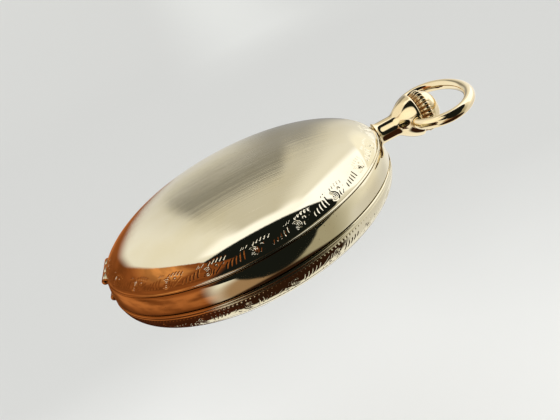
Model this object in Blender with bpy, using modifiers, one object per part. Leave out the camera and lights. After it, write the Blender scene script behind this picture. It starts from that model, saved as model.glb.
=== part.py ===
"""Hunter pocket watch: a gold case with hinged front and rear covers, and a
lever-set movement. Lengths below are in millimetres and are scaled to metres as
each mesh is made. +Z runs through the dial to the front cover, +Y runs along the
pendant (the 3 o'clock side), and 12 o'clock is at -X. The origin is the centre
of the small flat on the back."""

import math

import bmesh
import bpy

MM = 0.001

# Case
CASE_RADIUS = 26.0  # outer radius at the seam under the front cover
REAR_RADIUS = 26.45  # outer radius at the seam over the rear cover
REAR_SEAM = 6.9  # height of the seam over the rear cover
FRONT_SEAM = 10.2  # height of the seam under the front cover
FRONT_DOME = 6.1  # height of the front cover above its seam
FRONT_SHAPE = (2.65, 1.49)  # fullness and roundness of the front dome
REAR_SHAPE = (3.8, 2.4)  # fullness and roundness of the rear dome
COVER_WALL = 0.5
SEAM_GAP = 0.06  # half of the open seam between a cover and the band
BACK_FLAT = 6.0  # radius of the flat on the back
PENDANT_Z = (REAR_SEAM + FRONT_SEAM) / 2
CASE_STEPS = 32
MOVEMENT_STEPS = 24

# Pendant, crown and bow, measured along the pendant from the case's centre
BAND_FACE = 26.55  # where the neck meets the band
NECK_RADIUS = 1.92
BALL_RADIUS = 3.86
BALL_CENTRE = 33.3
CUP_RIM = 34.05
CUP_FLOOR = 31.9
CUP_RADIUS = 3.05  # inside the cup, which the crown sinks into
SPIGOT_RADIUS, SPIGOT_END = 1.25, 24.75  # the neck's end inside the band
SLEEVE_RADIUS, SLEEVE_START, SLEEVE_END = 0.93, 27.0, 30.8
STEM_RADIUS, STEM_END, STEM_TOP = 0.5, 12.7, 35.7
STEM_ROOM = 0.6  # radius of each bore that the stem passes through
CROWN_TOP = 38.3
CROWN_RADIUS = 3.46
CROWN_FLUTES = 28
FLUTE_START, FLUTE_END = 35.1, 36.5
CROWN_BASE = 33.1
PEG_RADIUS, PEG_START, PEG_END = 0.5, 3.6, 4.6  # the bow's pegs, from the pendant's axis
BOW_PIVOT = 33.0
BOW_HALF_WIDTH = 9.35
BOW_HALF_LENGTH = 5.8
BOW_CENTRE = 37.7
BOW_WIRE = 0.93
BOW_TILT = math.radians(4)

# Hinges: distance from the centre on the -Y side, and height, of each axis
HINGE_KNUCKLE = 0.6
HINGE_INNER = 1.65  # half length of the band's knuckle
HINGE_OUTER = 4.4  # outer end of the cover's knuckles
HINGE_GAP = 0.1
HINGE_BORE, HINGE_PIN = 0.3, 0.22
DUST_BORE, DUST_PIN = 0.2, 0.13
KNUCKLE_ROOM = 0.12  # gap round each knuckle
FRONT_HINGE = (25.95, 10.15)
REAR_HINGE = (26.2, 6.9)
DUST_HINGE = (24.4, 5.56)
DUST_KNUCKLE = 0.34

# Movement levels, from the back towards the dial
MOVEMENT_RADIUS = 21.6
DUST_CENTRE, DUST_RISE, DUST_RADIUS, DUST_WALL = 2.9, 2.3, 24.3, 0.4
COCK_BACK, COCK_FRONT = 4.42, 4.93
WINDING_BACK, WINDING_FRONT = 4.35, 4.75
BRIDGE_BACK, BRIDGE_FRONT = 4.9, 6.2
PLATE_BACK, PLATE_FRONT = 8.0, 9.7
MOTION_BACK, MOTION_SPLIT, MOTION_FRONT = 9.8, 10.0, 10.3
DIAL_BACK, DIAL_FRONT, DIAL_RADIUS = 10.4, 10.7, 20.9
PLATE_GAP = 0.1
BRIDGE_OUTER, FOOT_INNER = 21.2, 19.0
BRIDGE_SCREW_REACH, COCK_SCREW_REACH, CASE_SCREW_REACH = 20.0, 19.8, 23.0
SCREW_HOLE = 0.42
BARREL_HOLE = 0.75
HOUR_HAND = (10.95, 11.1)  # back and front of each hand
MINUTE_HAND = (11.4, 11.55)
SECONDS_HAND = (10.8, 10.88)

# Train: teeth of each wheel and pinion, and pitch radii of the wheels
BARREL_TEETH, BARREL_RADIUS, CENTRE_LEAVES = 56, 8.0, 7
CENTRE_TEETH, CENTRE_RADIUS, THIRD_LEAVES = 48, 6.5, 6
THIRD_TEETH, THIRD_RADIUS, FOURTH_LEAVES = 45, 5.1, 6
FOURTH_TEETH, FOURTH_RADIUS, ESCAPE_LEAVES = 60, 4.9, 6
ESCAPE_TEETH, ESCAPE_RADIUS = 15, 3.0
RATCHET_TEETH, CROWN_WHEEL_TEETH = 35, 28
CONTRATE_TEETH, CONTRATE_RADIUS = 20, 3.2
WINDING_LEAVES, WINDING_RADIUS = 10, 1.6
CANNON_TEETH, CANNON_RADIUS, MINUTE_TEETH = 10, 1.1, 30
MINUTE_LEAVES, HOUR_TEETH = 8, 32
SETTING_TEETH = 22
ARBOR_RADIUS = 0.22
PIVOT_HOLE = 0.3

# Plan positions that the train is laid out from
CENTRE = (0.0, 0.0)
FOURTH = (9.6, 0.0)
CROWN_WHEEL = (0.0, 11.8)
BALANCE = (1.84, -10.75)
BALANCE_RADIUS = 7.0
CASE_SCREWS = (20, 200)  # directions of the case screws, in degrees
SETTING_HEADING = 52  # direction in which the setting lever pulls out, in degrees
COCK_HEADING = 280  # direction of the balance cock's foot, in degrees

# Time shown at rest
HOURS, MINUTES, SECONDS = 10, 9, 36


# ---------------------------------------------------------------- plan geometry


def polar(radius, degrees, origin=(0.0, 0.0)):
    """The plan point at this distance and direction from origin."""
    angle = math.radians(degrees)
    return origin[0] + radius * math.cos(angle), origin[1] + radius * math.sin(angle)


def direction(start, end):
    """The direction from start to end, in degrees from +X."""
    return math.degrees(math.atan2(end[1] - start[1], end[0] - start[0]))


def third_corner(first, first_reach, second, second_reach):
    """The point at these distances from two others, on the left of the line between them."""
    span = math.dist(first, second)
    along = (first_reach**2 - second_reach**2 + span**2) / (2 * span)
    aside = math.sqrt(first_reach**2 - along**2)
    heading = direction(first, second)
    return polar(aside, heading + 90, polar(along, heading, first))


def pinion_radius(wheel_radius, wheel_teeth, leaves):
    """The pitch radius of a pinion that meshes with this wheel."""
    return wheel_radius * leaves / wheel_teeth


def meshed_phase(heading, driver_phase, driver_teeth, own_teeth):
    """The phase, in degrees, that puts a wheel's teeth in the gaps of its driver.
    heading is the direction from the driver to the wheel."""
    driver_pitch = 360 / driver_teeth
    past_tip = (heading - driver_phase) % driver_pitch / driver_pitch
    return heading + 180 - (0.5 - past_tip) * 360 / own_teeth


THIRD = third_corner(
    CENTRE,
    CENTRE_RADIUS + pinion_radius(CENTRE_RADIUS, CENTRE_TEETH, THIRD_LEAVES),
    FOURTH,
    THIRD_RADIUS + pinion_radius(THIRD_RADIUS, THIRD_TEETH, FOURTH_LEAVES),
)
ESCAPE_PINION = pinion_radius(FOURTH_RADIUS, FOURTH_TEETH, ESCAPE_LEAVES)
ESCAPE = polar(FOURTH_RADIUS + ESCAPE_PINION, 260, FOURTH)
PALLET = polar(3.9, 225, ESCAPE)
CENTRE_PINION = pinion_radius(BARREL_RADIUS, BARREL_TEETH, CENTRE_LEAVES)
BARREL = polar(BARREL_RADIUS + CENTRE_PINION, 160)
WINDING_SPAN = math.dist(BARREL, CROWN_WHEEL)
RATCHET_RADIUS = WINDING_SPAN * RATCHET_TEETH / (RATCHET_TEETH + CROWN_WHEEL_TEETH)
CROWN_WHEEL_RADIUS = WINDING_SPAN - RATCHET_RADIUS
MINUTE_RADIUS = CANNON_RADIUS * MINUTE_TEETH / CANNON_TEETH
MINUTE = polar(CANNON_RADIUS + MINUTE_RADIUS, 75)
MINUTE_PINION = (CANNON_RADIUS + MINUTE_RADIUS) * MINUTE_LEAVES / (MINUTE_LEAVES + HOUR_TEETH)
HOUR_RADIUS = CANNON_RADIUS + MINUTE_RADIUS - MINUTE_PINION
SETTING_RADIUS = pinion_radius(MINUTE_RADIUS, MINUTE_TEETH, SETTING_TEETH)
SETTING = polar(MINUTE_RADIUS + SETTING_RADIUS, 95, MINUTE)
CLICK = polar(8.7, 215, BARREL)
BARREL_PHASE = direction(BARREL, CENTRE)
TO_MINUTE = direction(CENTRE, MINUTE)
MINUTE_PHASE = meshed_phase(TO_MINUTE, TO_MINUTE, CANNON_TEETH, MINUTE_TEETH)


def sector(inner, outer, start, end, steps=10):
    """The outline of a ring's sector between two directions, in degrees."""
    turns = [start + (end - start) * i / steps for i in range(steps + 1)]
    return [polar(outer, a) for a in turns] + [polar(inner, a) for a in reversed(turns)]


def tapered(start, start_radius, end, end_radius, steps=8):
    """The outline round two circles, as of a lever, a cock's arm or a hand."""
    heading = direction(start, end)
    far = [polar(end_radius, heading - 90 + 180 * i / steps, end) for i in range(steps + 1)]
    near = [polar(start_radius, heading + 90 + 180 * i / steps, start) for i in range(steps + 1)]
    return far + near


def spiral(inner, outer, turns, thickness, steps):
    """The outline of a flat spiral strip."""
    count = round(turns * steps)
    path = [(inner + (outer - inner) * i / count, 360 * i / steps) for i in range(count + 1)]
    outside = [polar(radius + thickness / 2, angle) for radius, angle in path]
    inside = [polar(radius - thickness / 2, angle) for radius, angle in path]
    return outside + inside[::-1]


def dome(radius, height, fullness, roundness, steps=8):
    """(radius, height) points from the top of a dome down to its rim."""
    points = []
    for i in range(steps + 1):
        share = math.sin(math.radians(90 * i / steps))
        rise = max(0.0, 1 - share**fullness) ** (1 / roundness)
        points.append((radius * share, height * rise))
    return points


# ---------------------------------------------------------------- mesh tools

for leftover in list(bpy.data.objects):
    bpy.data.objects.remove(leftover, do_unlink=True)

WATCH = bpy.data.collections.new("hunter_pocket_watch")
TOOLS = bpy.data.collections.new("cutters")
bpy.context.scene.collection.children.link(WATCH)
bpy.context.scene.collection.children.link(TOOLS)


def material(name, colour, roughness, metallic):
    """A Principled BSDF material."""
    made = bpy.data.materials.new(name)
    made.use_nodes = True
    shader = made.node_tree.nodes["Principled BSDF"]
    shader.inputs["Base Color"].default_value = (*colour, 1.0)
    shader.inputs["Roughness"].default_value = roughness
    shader.inputs["Metallic"].default_value = metallic
    return made


CASE_GOLD = material("case_gold", (0.80, 0.70, 0.46), 0.12, 1.0)
YELLOW_GOLD = material("yellow_gold", (0.90, 0.68, 0.33), 0.14, 1.0)
NICKEL = material("nickel", (0.72, 0.71, 0.68), 0.30, 1.0)
BRASS = material("brass", (0.78, 0.60, 0.28), 0.28, 1.0)
STEEL = material("steel", (0.56, 0.57, 0.58), 0.22, 1.0)
BLUED_STEEL = material("blued_steel", (0.04, 0.07, 0.25), 0.20, 1.0)
ENAMEL = material("enamel", (0.90, 0.89, 0.85), 0.15, 0.0)
GLASS = material("glass", (0.92, 0.95, 0.95), 0.02, 0.0)


def new_object(name, mesh, surface):
    """An object in the watch's collection, shaded smooth between its sharp edges."""
    made = bpy.data.objects.new(name, mesh)
    made.data.materials.append(surface)
    WATCH.objects.link(made)
    if mesh.polygons:
        mesh.shade_smooth()
        mesh.set_sharp_from_angle(angle=math.radians(35))
    return made


def turned(name, profile, surface, steps=12, centre=(0.0, 0.0)):
    """A turned solid about a vertical axis. profile is (radius, height), down its outer
    side. It is a ring where neither end lies on the axis."""
    mesh = bpy.data.meshes.new(name)
    corners = [(radius * MM, 0.0, height * MM) for radius, height in profile]
    edges = [(i, i + 1) for i in range(len(corners) - 1)]
    if profile[0][0] > 0:
        edges.append((len(corners) - 1, 0))
    mesh.from_pydata(corners, edges, [])
    made = new_object(name, mesh, surface)
    made.location = (centre[0] * MM, centre[1] * MM, 0)
    screw = made.modifiers.new("Turn", "SCREW")
    screw.axis = "Z"
    screw.steps = steps
    screw.render_steps = steps
    screw.use_merge_vertices = True
    screw.merge_threshold = 1e-6
    return made


def along_pendant(made):
    """Turns an object's own Z axis to +Y, at the pendant's height."""
    made.rotation_euler = (math.radians(-90), 0, 0)
    made.location = (0, 0, PENDANT_Z * MM)
    return made


def flat(name, outline, back, front, surface):
    """A flat outline given a thickness, from the height back to the height front."""
    curve = bpy.data.curves.new(name, "CURVE")
    curve.dimensions = "2D"
    curve.fill_mode = "BOTH"
    curve.extrude = (front - back) / 2 * MM
    spline = curve.splines.new("POLY")
    spline.points.add(len(outline) - 1)
    for point, (x, y) in zip(spline.points, outline):
        point.co = (x * MM, y * MM, 0, 1)
    spline.use_cyclic_u = True
    return solid_of_curve(name, curve, (0, 0, (front + back) / 2 * MM), surface)


def solid_of_curve(name, curve, place, surface):
    """A mesh object from a curve, with the curve's loose caps welded to its sides."""
    guide = bpy.data.objects.new(name + "_curve", curve)
    TOOLS.objects.link(guide)
    guide.location = place
    bpy.context.view_layer.update()
    graph = bpy.context.evaluated_depsgraph_get()
    mesh = bpy.data.meshes.new_from_object(guide.evaluated_get(graph))
    weld = bmesh.new()
    weld.from_mesh(mesh)
    bmesh.ops.remove_doubles(weld, verts=weld.verts, dist=1e-7)
    weld.to_mesh(mesh)
    weld.free()
    mesh.materials.clear()
    made = new_object(name, mesh, surface)
    made.matrix_world = guide.matrix_world
    bpy.data.objects.remove(guide, do_unlink=True)
    return made


def cylinder(name, radius, back, front, surface, centre=(0.0, 0.0), steps=12):
    """An upright cylinder."""
    mesh = bpy.data.meshes.new(name)
    shape = bmesh.new()
    bmesh.ops.create_cone(
        shape,
        cap_ends=True,
        segments=steps,
        radius1=radius * MM,
        radius2=radius * MM,
        depth=(front - back) * MM,
    )
    shape.to_mesh(mesh)
    shape.free()
    made = new_object(name, mesh, surface)
    made.location = (centre[0] * MM, centre[1] * MM, (front + back) / 2 * MM)
    return made


def bar(name, radius, start, end, surface, steps=12):
    """A cylinder on its own Z axis, which along_pendant then turns to the pendant."""
    return turned(name, [(0, end), (radius, end), (radius, start), (0, start)], surface, steps)


def crosswise(name, radius, left, right, distance, height, surface, steps=12):
    """A cylinder along X, at this distance from the centre on the -Y side."""
    made = cylinder(name, radius, left, right, surface, steps=steps)
    made.rotation_euler = (0, math.radians(90), 0)
    made.location = ((left + right) / 2 * MM, -distance * MM, height * MM)
    return made


def block(name, low, high, surface, heading=0.0):
    """A box between two corners, turned about the vertical axis."""
    mesh = bpy.data.meshes.new(name)
    shape = bmesh.new()
    bmesh.ops.create_cube(shape, size=1.0)
    for vert in shape.verts:
        for axis in range(3):
            middle = (low[axis] + high[axis]) / 2
            vert.co[axis] = (middle + vert.co[axis] * (high[axis] - low[axis])) * MM
    shape.to_mesh(mesh)
    shape.free()
    made = new_object(name, mesh, surface)
    made.rotation_euler = (0, 0, math.radians(heading))
    return made


def as_tool(made):
    """Moves an object to the cutters, which aren't part of the watch."""
    WATCH.objects.unlink(made)
    TOOLS.objects.link(made)
    made.hide_render = True
    made.display_type = "WIRE"
    return made


def combine(target, tools, operation):
    """target with one Boolean for each tool."""
    for tool in tools:
        step = target.modifiers.new(operation.title(), "BOOLEAN")
        step.operation = operation
        step.solver = "EXACT"
        step.object = as_tool(tool)
    return target


def joined(target, *others):
    """target with the others fused to it, as one solid."""
    return combine(target, others, "UNION")


def cut(target, *cutters):
    """target with the cutters' shapes taken out."""
    return combine(target, cutters, "DIFFERENCE")


def gear(name, teeth, pitch_radius, phase, back, front, surface, centre=(0.0, 0.0)):
    """A spur gear with pointed teeth. phase is the direction of one tooth, in degrees."""
    height = 0.8 * 2 * math.pi * pitch_radius / teeth
    tip = pitch_radius + 0.3 * height
    root = pitch_radius - 0.7 * height
    outline = []
    for i in range(teeth):
        outline.append(polar(tip, phase + 360 * i / teeth, centre))
        outline.append(polar(root, phase + 360 * (i + 0.5) / teeth, centre))
    return flat(name, outline, back, front, surface)


# ---------------------------------------------------------------- case


def front_shell():
    """The front cover's shell, with the lip inside its rim."""
    rim = FRONT_SEAM + SEAM_GAP
    outside = [(r, rim + z) for r, z in dome(CASE_RADIUS, FRONT_DOME, *FRONT_SHAPE)]
    inside = dome(CASE_RADIUS - COVER_WALL, FRONT_DOME - COVER_WALL, *FRONT_SHAPE, 6)
    lip = CASE_RADIUS - 1.0
    inside = [(r, rim + z) for r, z in inside if r < lip]
    profile = outside + [(lip, rim), (lip, rim + 0.7)] + inside[::-1]
    return turned("front_cover", profile, CASE_GOLD, CASE_STEPS)


def rear_shell():
    """The rear cover's shell, with the flat that the watch rests on."""
    rim = REAR_SEAM - SEAM_GAP
    outside = [(r, rim - z) for r, z in dome(REAR_RADIUS, rim, *REAR_SHAPE)]
    outside = [(0.0, 0.0), (BACK_FLAT, 0.0)] + [p for p in outside if p[0] > BACK_FLAT + 2]
    inside = dome(REAR_RADIUS - COVER_WALL, rim - COVER_WALL, *REAR_SHAPE, 7)
    lip = REAR_RADIUS - 1.05
    inside = [(r, rim - z) for r, z in inside if r < lip]
    profile = inside + [(lip, rim - 1.4), (lip, rim)] + outside[::-1]
    return turned("rear_cover", profile, CASE_GOLD, CASE_STEPS)


def knuckles(name, hinge, radius, surface):
    """The two outer knuckles of a hinge, on the cover."""
    distance, height = hinge
    start = HINGE_INNER + HINGE_GAP
    return [
        crosswise(f"{name}_{side}", radius, *ends, distance, height, surface)
        for side, ends in (("left", (-HINGE_OUTER, -start)), ("right", (start, HINGE_OUTER)))
    ]


def hinge_recess(name, hinge, radius, left, right):
    """A cutter that gives a knuckle room to turn."""
    return crosswise(name, radius + KNUCKLE_ROOM, left, right, *hinge, STEEL)


def hinged_cover(cover, hinge, radius, bore):
    """Adds a cover's knuckles, and clears the band's knuckle and the pin."""
    joined(cover, *knuckles(cover.name + "_knuckle", hinge, radius, CASE_GOLD))
    inner = HINGE_INNER + HINGE_GAP / 2
    cut(
        cover,
        hinge_recess(cover.name + "_recess", hinge, radius, -inner, inner),
        crosswise(cover.name + "_bore", bore, -HINGE_OUTER - 1, HINGE_OUTER + 1, *hinge, STEEL),
    )
    return cover


def band():
    """The centre band, with its shelf for the movement and its three knuckles."""
    top = FRONT_SEAM - SEAM_GAP * 2
    base = REAR_SEAM + SEAM_GAP * 2
    profile = [
        (24.55, top),
        (25.95, top),
        (26.17, top - 0.5),
        (26.36, 8.55),
        (26.42, base + 0.35),
        (26.3, base),
        (24.95, base),
        (24.95, 5.8),
        (21.85, 5.8),
        (21.85, 9.1),
        (24.55, 9.1),
    ]
    made = turned("case_band", profile, CASE_GOLD, CASE_STEPS)
    hinges = (
        ("front", FRONT_HINGE, HINGE_KNUCKLE, HINGE_BORE),
        ("rear", REAR_HINGE, HINGE_KNUCKLE, HINGE_BORE),
        ("dust", DUST_HINGE, DUST_KNUCKLE, DUST_BORE),
    )
    for name, hinge, radius, bore in hinges:
        start = HINGE_INNER + HINGE_GAP / 2
        end = HINGE_OUTER + HINGE_GAP
        joined(
            made, crosswise(name + "_centre", radius, -HINGE_INNER, HINGE_INNER, *hinge, STEEL)
        )
        cut(
            made,
            hinge_recess(name + "_room_left", hinge, radius, -end, -start),
            hinge_recess(name + "_room_right", hinge, radius, start, end),
            crosswise(name + "_band_bore", bore, -end - 1, end + 1, *hinge, STEEL),
        )
    cut(made, along_pendant(bar("spigot_hole", 1.35, 20, 28, STEEL, 16)))
    for number, heading in enumerate(CASE_SCREWS, start=1):
        place = polar(CASE_SCREW_REACH, heading)
        cut(made, cylinder(f"case_screw_hole_{number}", 0.35, 7.6, 9.4, STEEL, place))
    return made


def case():
    """Covers, band, hinge pins, bezel and crystal."""
    band()
    hinged_cover(front_shell(), FRONT_HINGE, HINGE_KNUCKLE, HINGE_BORE)
    hinged_cover(rear_shell(), REAR_HINGE, HINGE_KNUCKLE, HINGE_BORE)
    dust_cover()
    for name, hinge, radius in (
        ("front_hinge_pin", FRONT_HINGE, HINGE_PIN),
        ("rear_hinge_pin", REAR_HINGE, HINGE_PIN),
        ("dust_hinge_pin", DUST_HINGE, DUST_PIN),
    ):
        crosswise(name, radius, -HINGE_OUTER, HINGE_OUTER, *hinge, STEEL, steps=10)
    for number, heading in enumerate(CASE_SCREWS, start=1):
        place = polar(CASE_SCREW_REACH, heading)
        screw(f"case_screw_{number}", 0.65, 0.25, 9.8, 10.05, 7.9, place)
    bezel()
    crystal()


def dust_cover():
    """The inner cover over the movement, shallow and hinged inside the band."""
    radii = [DUST_RADIUS * share for share in (0, 0.6, 0.8, 0.92, 1)]
    back = [(r, DUST_CENTRE + DUST_RISE * (r / DUST_RADIUS) ** 6) for r in radii]
    front = [(r, z + DUST_WALL) for r, z in back]
    made = turned("dust_cover", front + back[::-1], CASE_GOLD, CASE_STEPS)
    return hinged_cover(made, DUST_HINGE, DUST_KNUCKLE, DUST_BORE)


def bezel():
    """The snap-in ring that holds the crystal."""
    profile = [
        (21.25, 11.95),
        (21.7, 12.0),
        (23.2, 11.6),
        (24.75, 10.7),
        (24.75, FRONT_SEAM),
        (24.2, FRONT_SEAM),
        (21.25, 10.3),
        (21.25, 11.0),
        (22.1, 11.05),
        (22.1, 11.6),
        (21.25, 11.65),
    ]
    turned("bezel", profile, CASE_GOLD, CASE_STEPS)


def crystal():
    """The thin domed glass."""
    radii = [22.0 * i / 4 for i in range(5)]
    top = [(r, 12.75 - 1.25 * (r / 22.0) ** 2) for r in radii]
    under = [(r, 12.2 - 1.05 * (r / 22.0) ** 2) for r in radii]
    turned("crystal", top + under[::-1], GLASS, CASE_STEPS)


# ---------------------------------------------------------------- pendant, crown and bow


def pendant():
    """The neck and its ball-shaped cup, bored for the stem and the crown."""
    ball = [(3.79, CUP_RIM)]
    for degrees in (-4, 12, 27, 42, 57):
        angle = math.radians(degrees)
        ball.append((BALL_RADIUS * math.cos(angle), BALL_CENTRE - BALL_RADIUS * math.sin(angle)))
    profile = [(3.45, CUP_RIM)] + ball + [
        (NECK_RADIUS, 29.9),
        (NECK_RADIUS, 27.0),
        (NECK_RADIUS + 0.3, BAND_FACE),
        (SPIGOT_RADIUS, BAND_FACE),
        (SPIGOT_RADIUS, SPIGOT_END),
        (1.0, SPIGOT_END),
        (1.0, CUP_FLOOR),
        (CUP_RADIUS, CUP_FLOOR),
    ]
    made = along_pendant(turned("pendant", profile, YELLOW_GOLD, 24))
    socket = crosswise("bow_socket", PEG_RADIUS + 0.1, -5, 5, -BOW_PIVOT, PENDANT_Z, STEEL)
    reach = PEG_START - 0.15
    core = crosswise("bow_socket_core", 1.0, -reach, reach, -BOW_PIVOT, PENDANT_Z, STEEL)
    cut(socket, core)
    cut(made, socket)
    sleeve = [
        (SLEEVE_RADIUS, SLEEVE_END),
        (SLEEVE_RADIUS, SLEEVE_START),
        (STEM_ROOM, SLEEVE_START),
        (STEM_ROOM, SLEEVE_END),
    ]
    along_pendant(turned("pendant_sleeve", sleeve, STEEL, 12))


def crown():
    """The domed crown, fluted round its widest part, and its stem."""
    profile = [
        (0.0, CROWN_TOP),
        (1.3, CROWN_TOP - 0.16),
        (2.4, CROWN_TOP - 0.66),
        (3.1, CROWN_TOP - 1.4),
        (3.3, CROWN_TOP - 2.1),
        (3.2, CROWN_TOP - 3.45),
        (2.8, CROWN_BASE + 0.8),
        (2.55, CROWN_BASE),
        (0.0, CROWN_BASE),
    ]
    made = along_pendant(turned("crown", profile, YELLOW_GOLD, 24))
    pitch_radius = CROWN_RADIUS - 0.1
    ends = (FLUTE_START, FLUTE_END)
    flutes = gear("crown_flutes", CROWN_FLUTES, pitch_radius, 0, *ends, YELLOW_GOLD)
    flutes.rotation_euler = (math.radians(-90), 0, 0)
    flutes.location = (0, sum(ends) / 2 * MM, PENDANT_Z * MM)
    joined(made, flutes)
    cut(made, along_pendant(bar("crown_bore", STEM_ROOM, 32, 36, STEEL)))
    stem = [(0.0, STEM_TOP), (STEM_RADIUS, STEM_TOP), (STEM_RADIUS, STEM_END), (0.0, STEM_END)]
    along_pendant(turned("winding_stem", stem, STEEL, 10))


def bow():
    """The loop that a chain clips to, with a peg at each end in the ball's sockets."""
    last = math.asin((BOW_PIVOT - BOW_CENTRE) / BOW_HALF_LENGTH)
    steps = 22
    route = [(4.15, 0.0)]
    for i in range(steps + 1):
        angle = last + (math.pi - 2 * last) * i / steps
        along = BOW_CENTRE - BOW_PIVOT + BOW_HALF_LENGTH * math.sin(angle)
        route.append((BOW_HALF_WIDTH * math.cos(angle), along))
    route.append((-4.15, 0.0))
    curve = bpy.data.curves.new("bow", "CURVE")
    curve.dimensions = "3D"
    curve.bevel_depth = BOW_WIRE * MM
    curve.bevel_resolution = 2
    curve.use_fill_caps = True
    spline = curve.splines.new("POLY")
    spline.points.add(len(route) - 1)
    for point, (x, y) in zip(spline.points, route):
        point.co = (x * MM, y * MM, 0, 1)
    made = solid_of_curve("bow", curve, (0, BOW_PIVOT * MM, PENDANT_Z * MM), YELLOW_GOLD)
    made.rotation_euler = (BOW_TILT, 0, 0)
    for side, ends in (("left", (-PEG_END, -PEG_START)), ("right", (PEG_START, PEG_END))):
        joined(made, crosswise(f"bow_peg_{side}", PEG_RADIUS, *ends, -BOW_PIVOT, PENDANT_Z, STEEL))


# ---------------------------------------------------------------- springs and screws


def case_springs():
    """The spring that lifts the front cover, and the spring that is its catch."""
    flat("lift_spring", sector(23.1, 23.5, -82, -20), 9.3, 9.9, STEEL)
    made = flat("lock_spring", sector(23.8, 24.2, 93, 148), 9.3, 9.9, STEEL)
    nose = flat("lock_nose", sector(23.4, 24.4, 91, 94, 2), 9.3, 9.98, STEEL)
    foot = cylinder("lock_foot", 0.55, 9.2, 9.95, STEEL, polar(23.75, 149))
    joined(made, nose, foot)


def screw(name, head, shank, back, front, tip, centre):
    """A cheese-headed screw. Its head is from back to front, and its shank ends at tip."""
    if tip < back:
        profile = [(0, front), (head, front), (head, back), (shank, back), (shank, tip), (0, tip)]
    else:
        profile = [(0, tip), (shank, tip), (shank, front), (head, front), (head, back), (0, back)]
    return turned(name, profile, BLUED_STEEL, 12, centre)


BRIDGE_SCREWS = {
    "train_bridge_screw_1": polar(BRIDGE_SCREW_REACH, -22),
    "train_bridge_screw_2": polar(BRIDGE_SCREW_REACH, 54),
    "barrel_bridge_screw_1": polar(BRIDGE_SCREW_REACH, 116),
    "barrel_bridge_screw_2": polar(BRIDGE_SCREW_REACH, 215),
}
COCK_SCREW = polar(COCK_SCREW_REACH, COCK_HEADING)


# ---------------------------------------------------------------- frame of the movement


def pivot_holes(name, places, back, front, radius=PIVOT_HOLE):
    """A cutter for each of a row of equal holes."""
    return [
        cylinder(f"{name}_{i}", radius, back, front, STEEL, place)
        for i, place in enumerate(places)
    ]


def main_plate():
    """The plate that the whole movement is built on."""
    profile = [
        (0.0, PLATE_FRONT),
        (22.6, PLATE_FRONT),
        (22.6, 9.25),
        (MOVEMENT_RADIUS, 9.2),
        (MOVEMENT_RADIUS, PLATE_BACK),
        (0.0, PLATE_BACK),
    ]
    made = turned("main_plate", profile, BRASS, MOVEMENT_STEPS)
    low, high = PLATE_BACK - 1, PLATE_FRONT + 1
    cut(made, *pivot_holes("plate_hole", (CENTRE, THIRD, FOURTH, ESCAPE, PALLET, BALANCE), low, high))
    cut(made, cylinder("plate_barrel_hole", BARREL_HOLE, low, high, STEEL, BARREL))
    screw_places = [*BRIDGE_SCREWS.values(), COCK_SCREW]
    cut(made, *pivot_holes("plate_screw_hole", screw_places, low, high, SCREW_HOLE))
    cut(made, block("stem_channel", (-2.2, 11.4, low), (2.2, 24, high), STEEL))
    cut(made, block("lever_groove", (16.4, -1.0, 9.2), (24, 1.0, high), STEEL, SETTING_HEADING))


def bridge(name, start, end, inner, feet, pivots):
    """A bridge over one part of the train: a sector with a foot at each end."""
    outline = sector(inner, BRIDGE_OUTER, start, end, 14)
    made = flat(name, outline, BRIDGE_BACK, BRIDGE_FRONT, NICKEL)
    for number, (foot_start, foot_end) in enumerate(feet, start=1):
        outline = sector(FOOT_INNER, BRIDGE_OUTER, foot_start, foot_end, 3)
        joined(
            made,
            flat(f"{name}_foot_{number}", outline, BRIDGE_BACK + 0.5, PLATE_BACK - PLATE_GAP, NICKEL),
        )
    cut(made, *pivot_holes(name + "_hole", pivots, BRIDGE_BACK - 1, BRIDGE_FRONT + 1))
    screws = [place for label, place in BRIDGE_SCREWS.items() if label.startswith(name)]
    low, high = BRIDGE_BACK - 1, PLATE_BACK + 1
    cut(made, *pivot_holes(name + "_screw_hole", screws, low, high, SCREW_HOLE))
    return made


def frame():
    """Main plate, bridges, cocks and their screws."""
    main_plate()
    train = bridge("train_bridge", -38, 72, 1.0, ((-34, -10), (42, 66)), (THIRD, FOURTH, ESCAPE))
    joined(train, cylinder("train_bridge_lobe", 2.0, 4.95, 6.15, NICKEL, CENTRE, 16))
    cut(train, *pivot_holes("train_bridge_centre_hole", (CENTRE,), 4, 7))
    barrel = bridge("barrel_bridge", 76, 236, 2.7, ((104, 128), (202, 228)), ())
    cut(
        barrel,
        cylinder("bridge_barrel_hole", BARREL_HOLE, 4, 7, STEEL, BARREL),
        cylinder("bridge_crown_wheel_hole", 1.1, 4, 7, STEEL, CROWN_WHEEL),
        cylinder("bridge_click_hole", SCREW_HOLE, 4, 7, STEEL, CLICK),
    )
    for name, place in BRIDGE_SCREWS.items():
        screw(name, 0.9, 0.35, 4.6, 4.87, 8.8, place)
    balance_cock()
    pallet_cock()


def balance_cock():
    """The cock that holds the balance's upper pivot."""
    arm = tapered(BALANCE, 1.7, polar(19.6, COCK_HEADING), 3.0)
    made = flat("balance_cock", arm, COCK_BACK, COCK_FRONT, NICKEL)
    foot = flat(
        "balance_cock_foot",
        sector(18.4, BRIDGE_OUTER, COCK_HEADING - 12, COCK_HEADING + 12, 4),
        COCK_BACK + 0.3,
        PLATE_BACK - PLATE_GAP,
        NICKEL,
    )
    trim = turned("cock_trim", [(26, 9), (26, 3), (BRIDGE_OUTER, 3), (BRIDGE_OUTER, 9)], STEEL, CASE_STEPS)
    joined(made, foot)
    cut(
        made,
        trim,
        *pivot_holes("cock_hole", (BALANCE,), 3, 6),
        *pivot_holes("cock_screw_hole", (COCK_SCREW,), 3, 9, SCREW_HOLE),
    )
    screw("balance_cock_screw", 0.8, 0.35, 4.22, 4.39, 8.8, COCK_SCREW)


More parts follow.
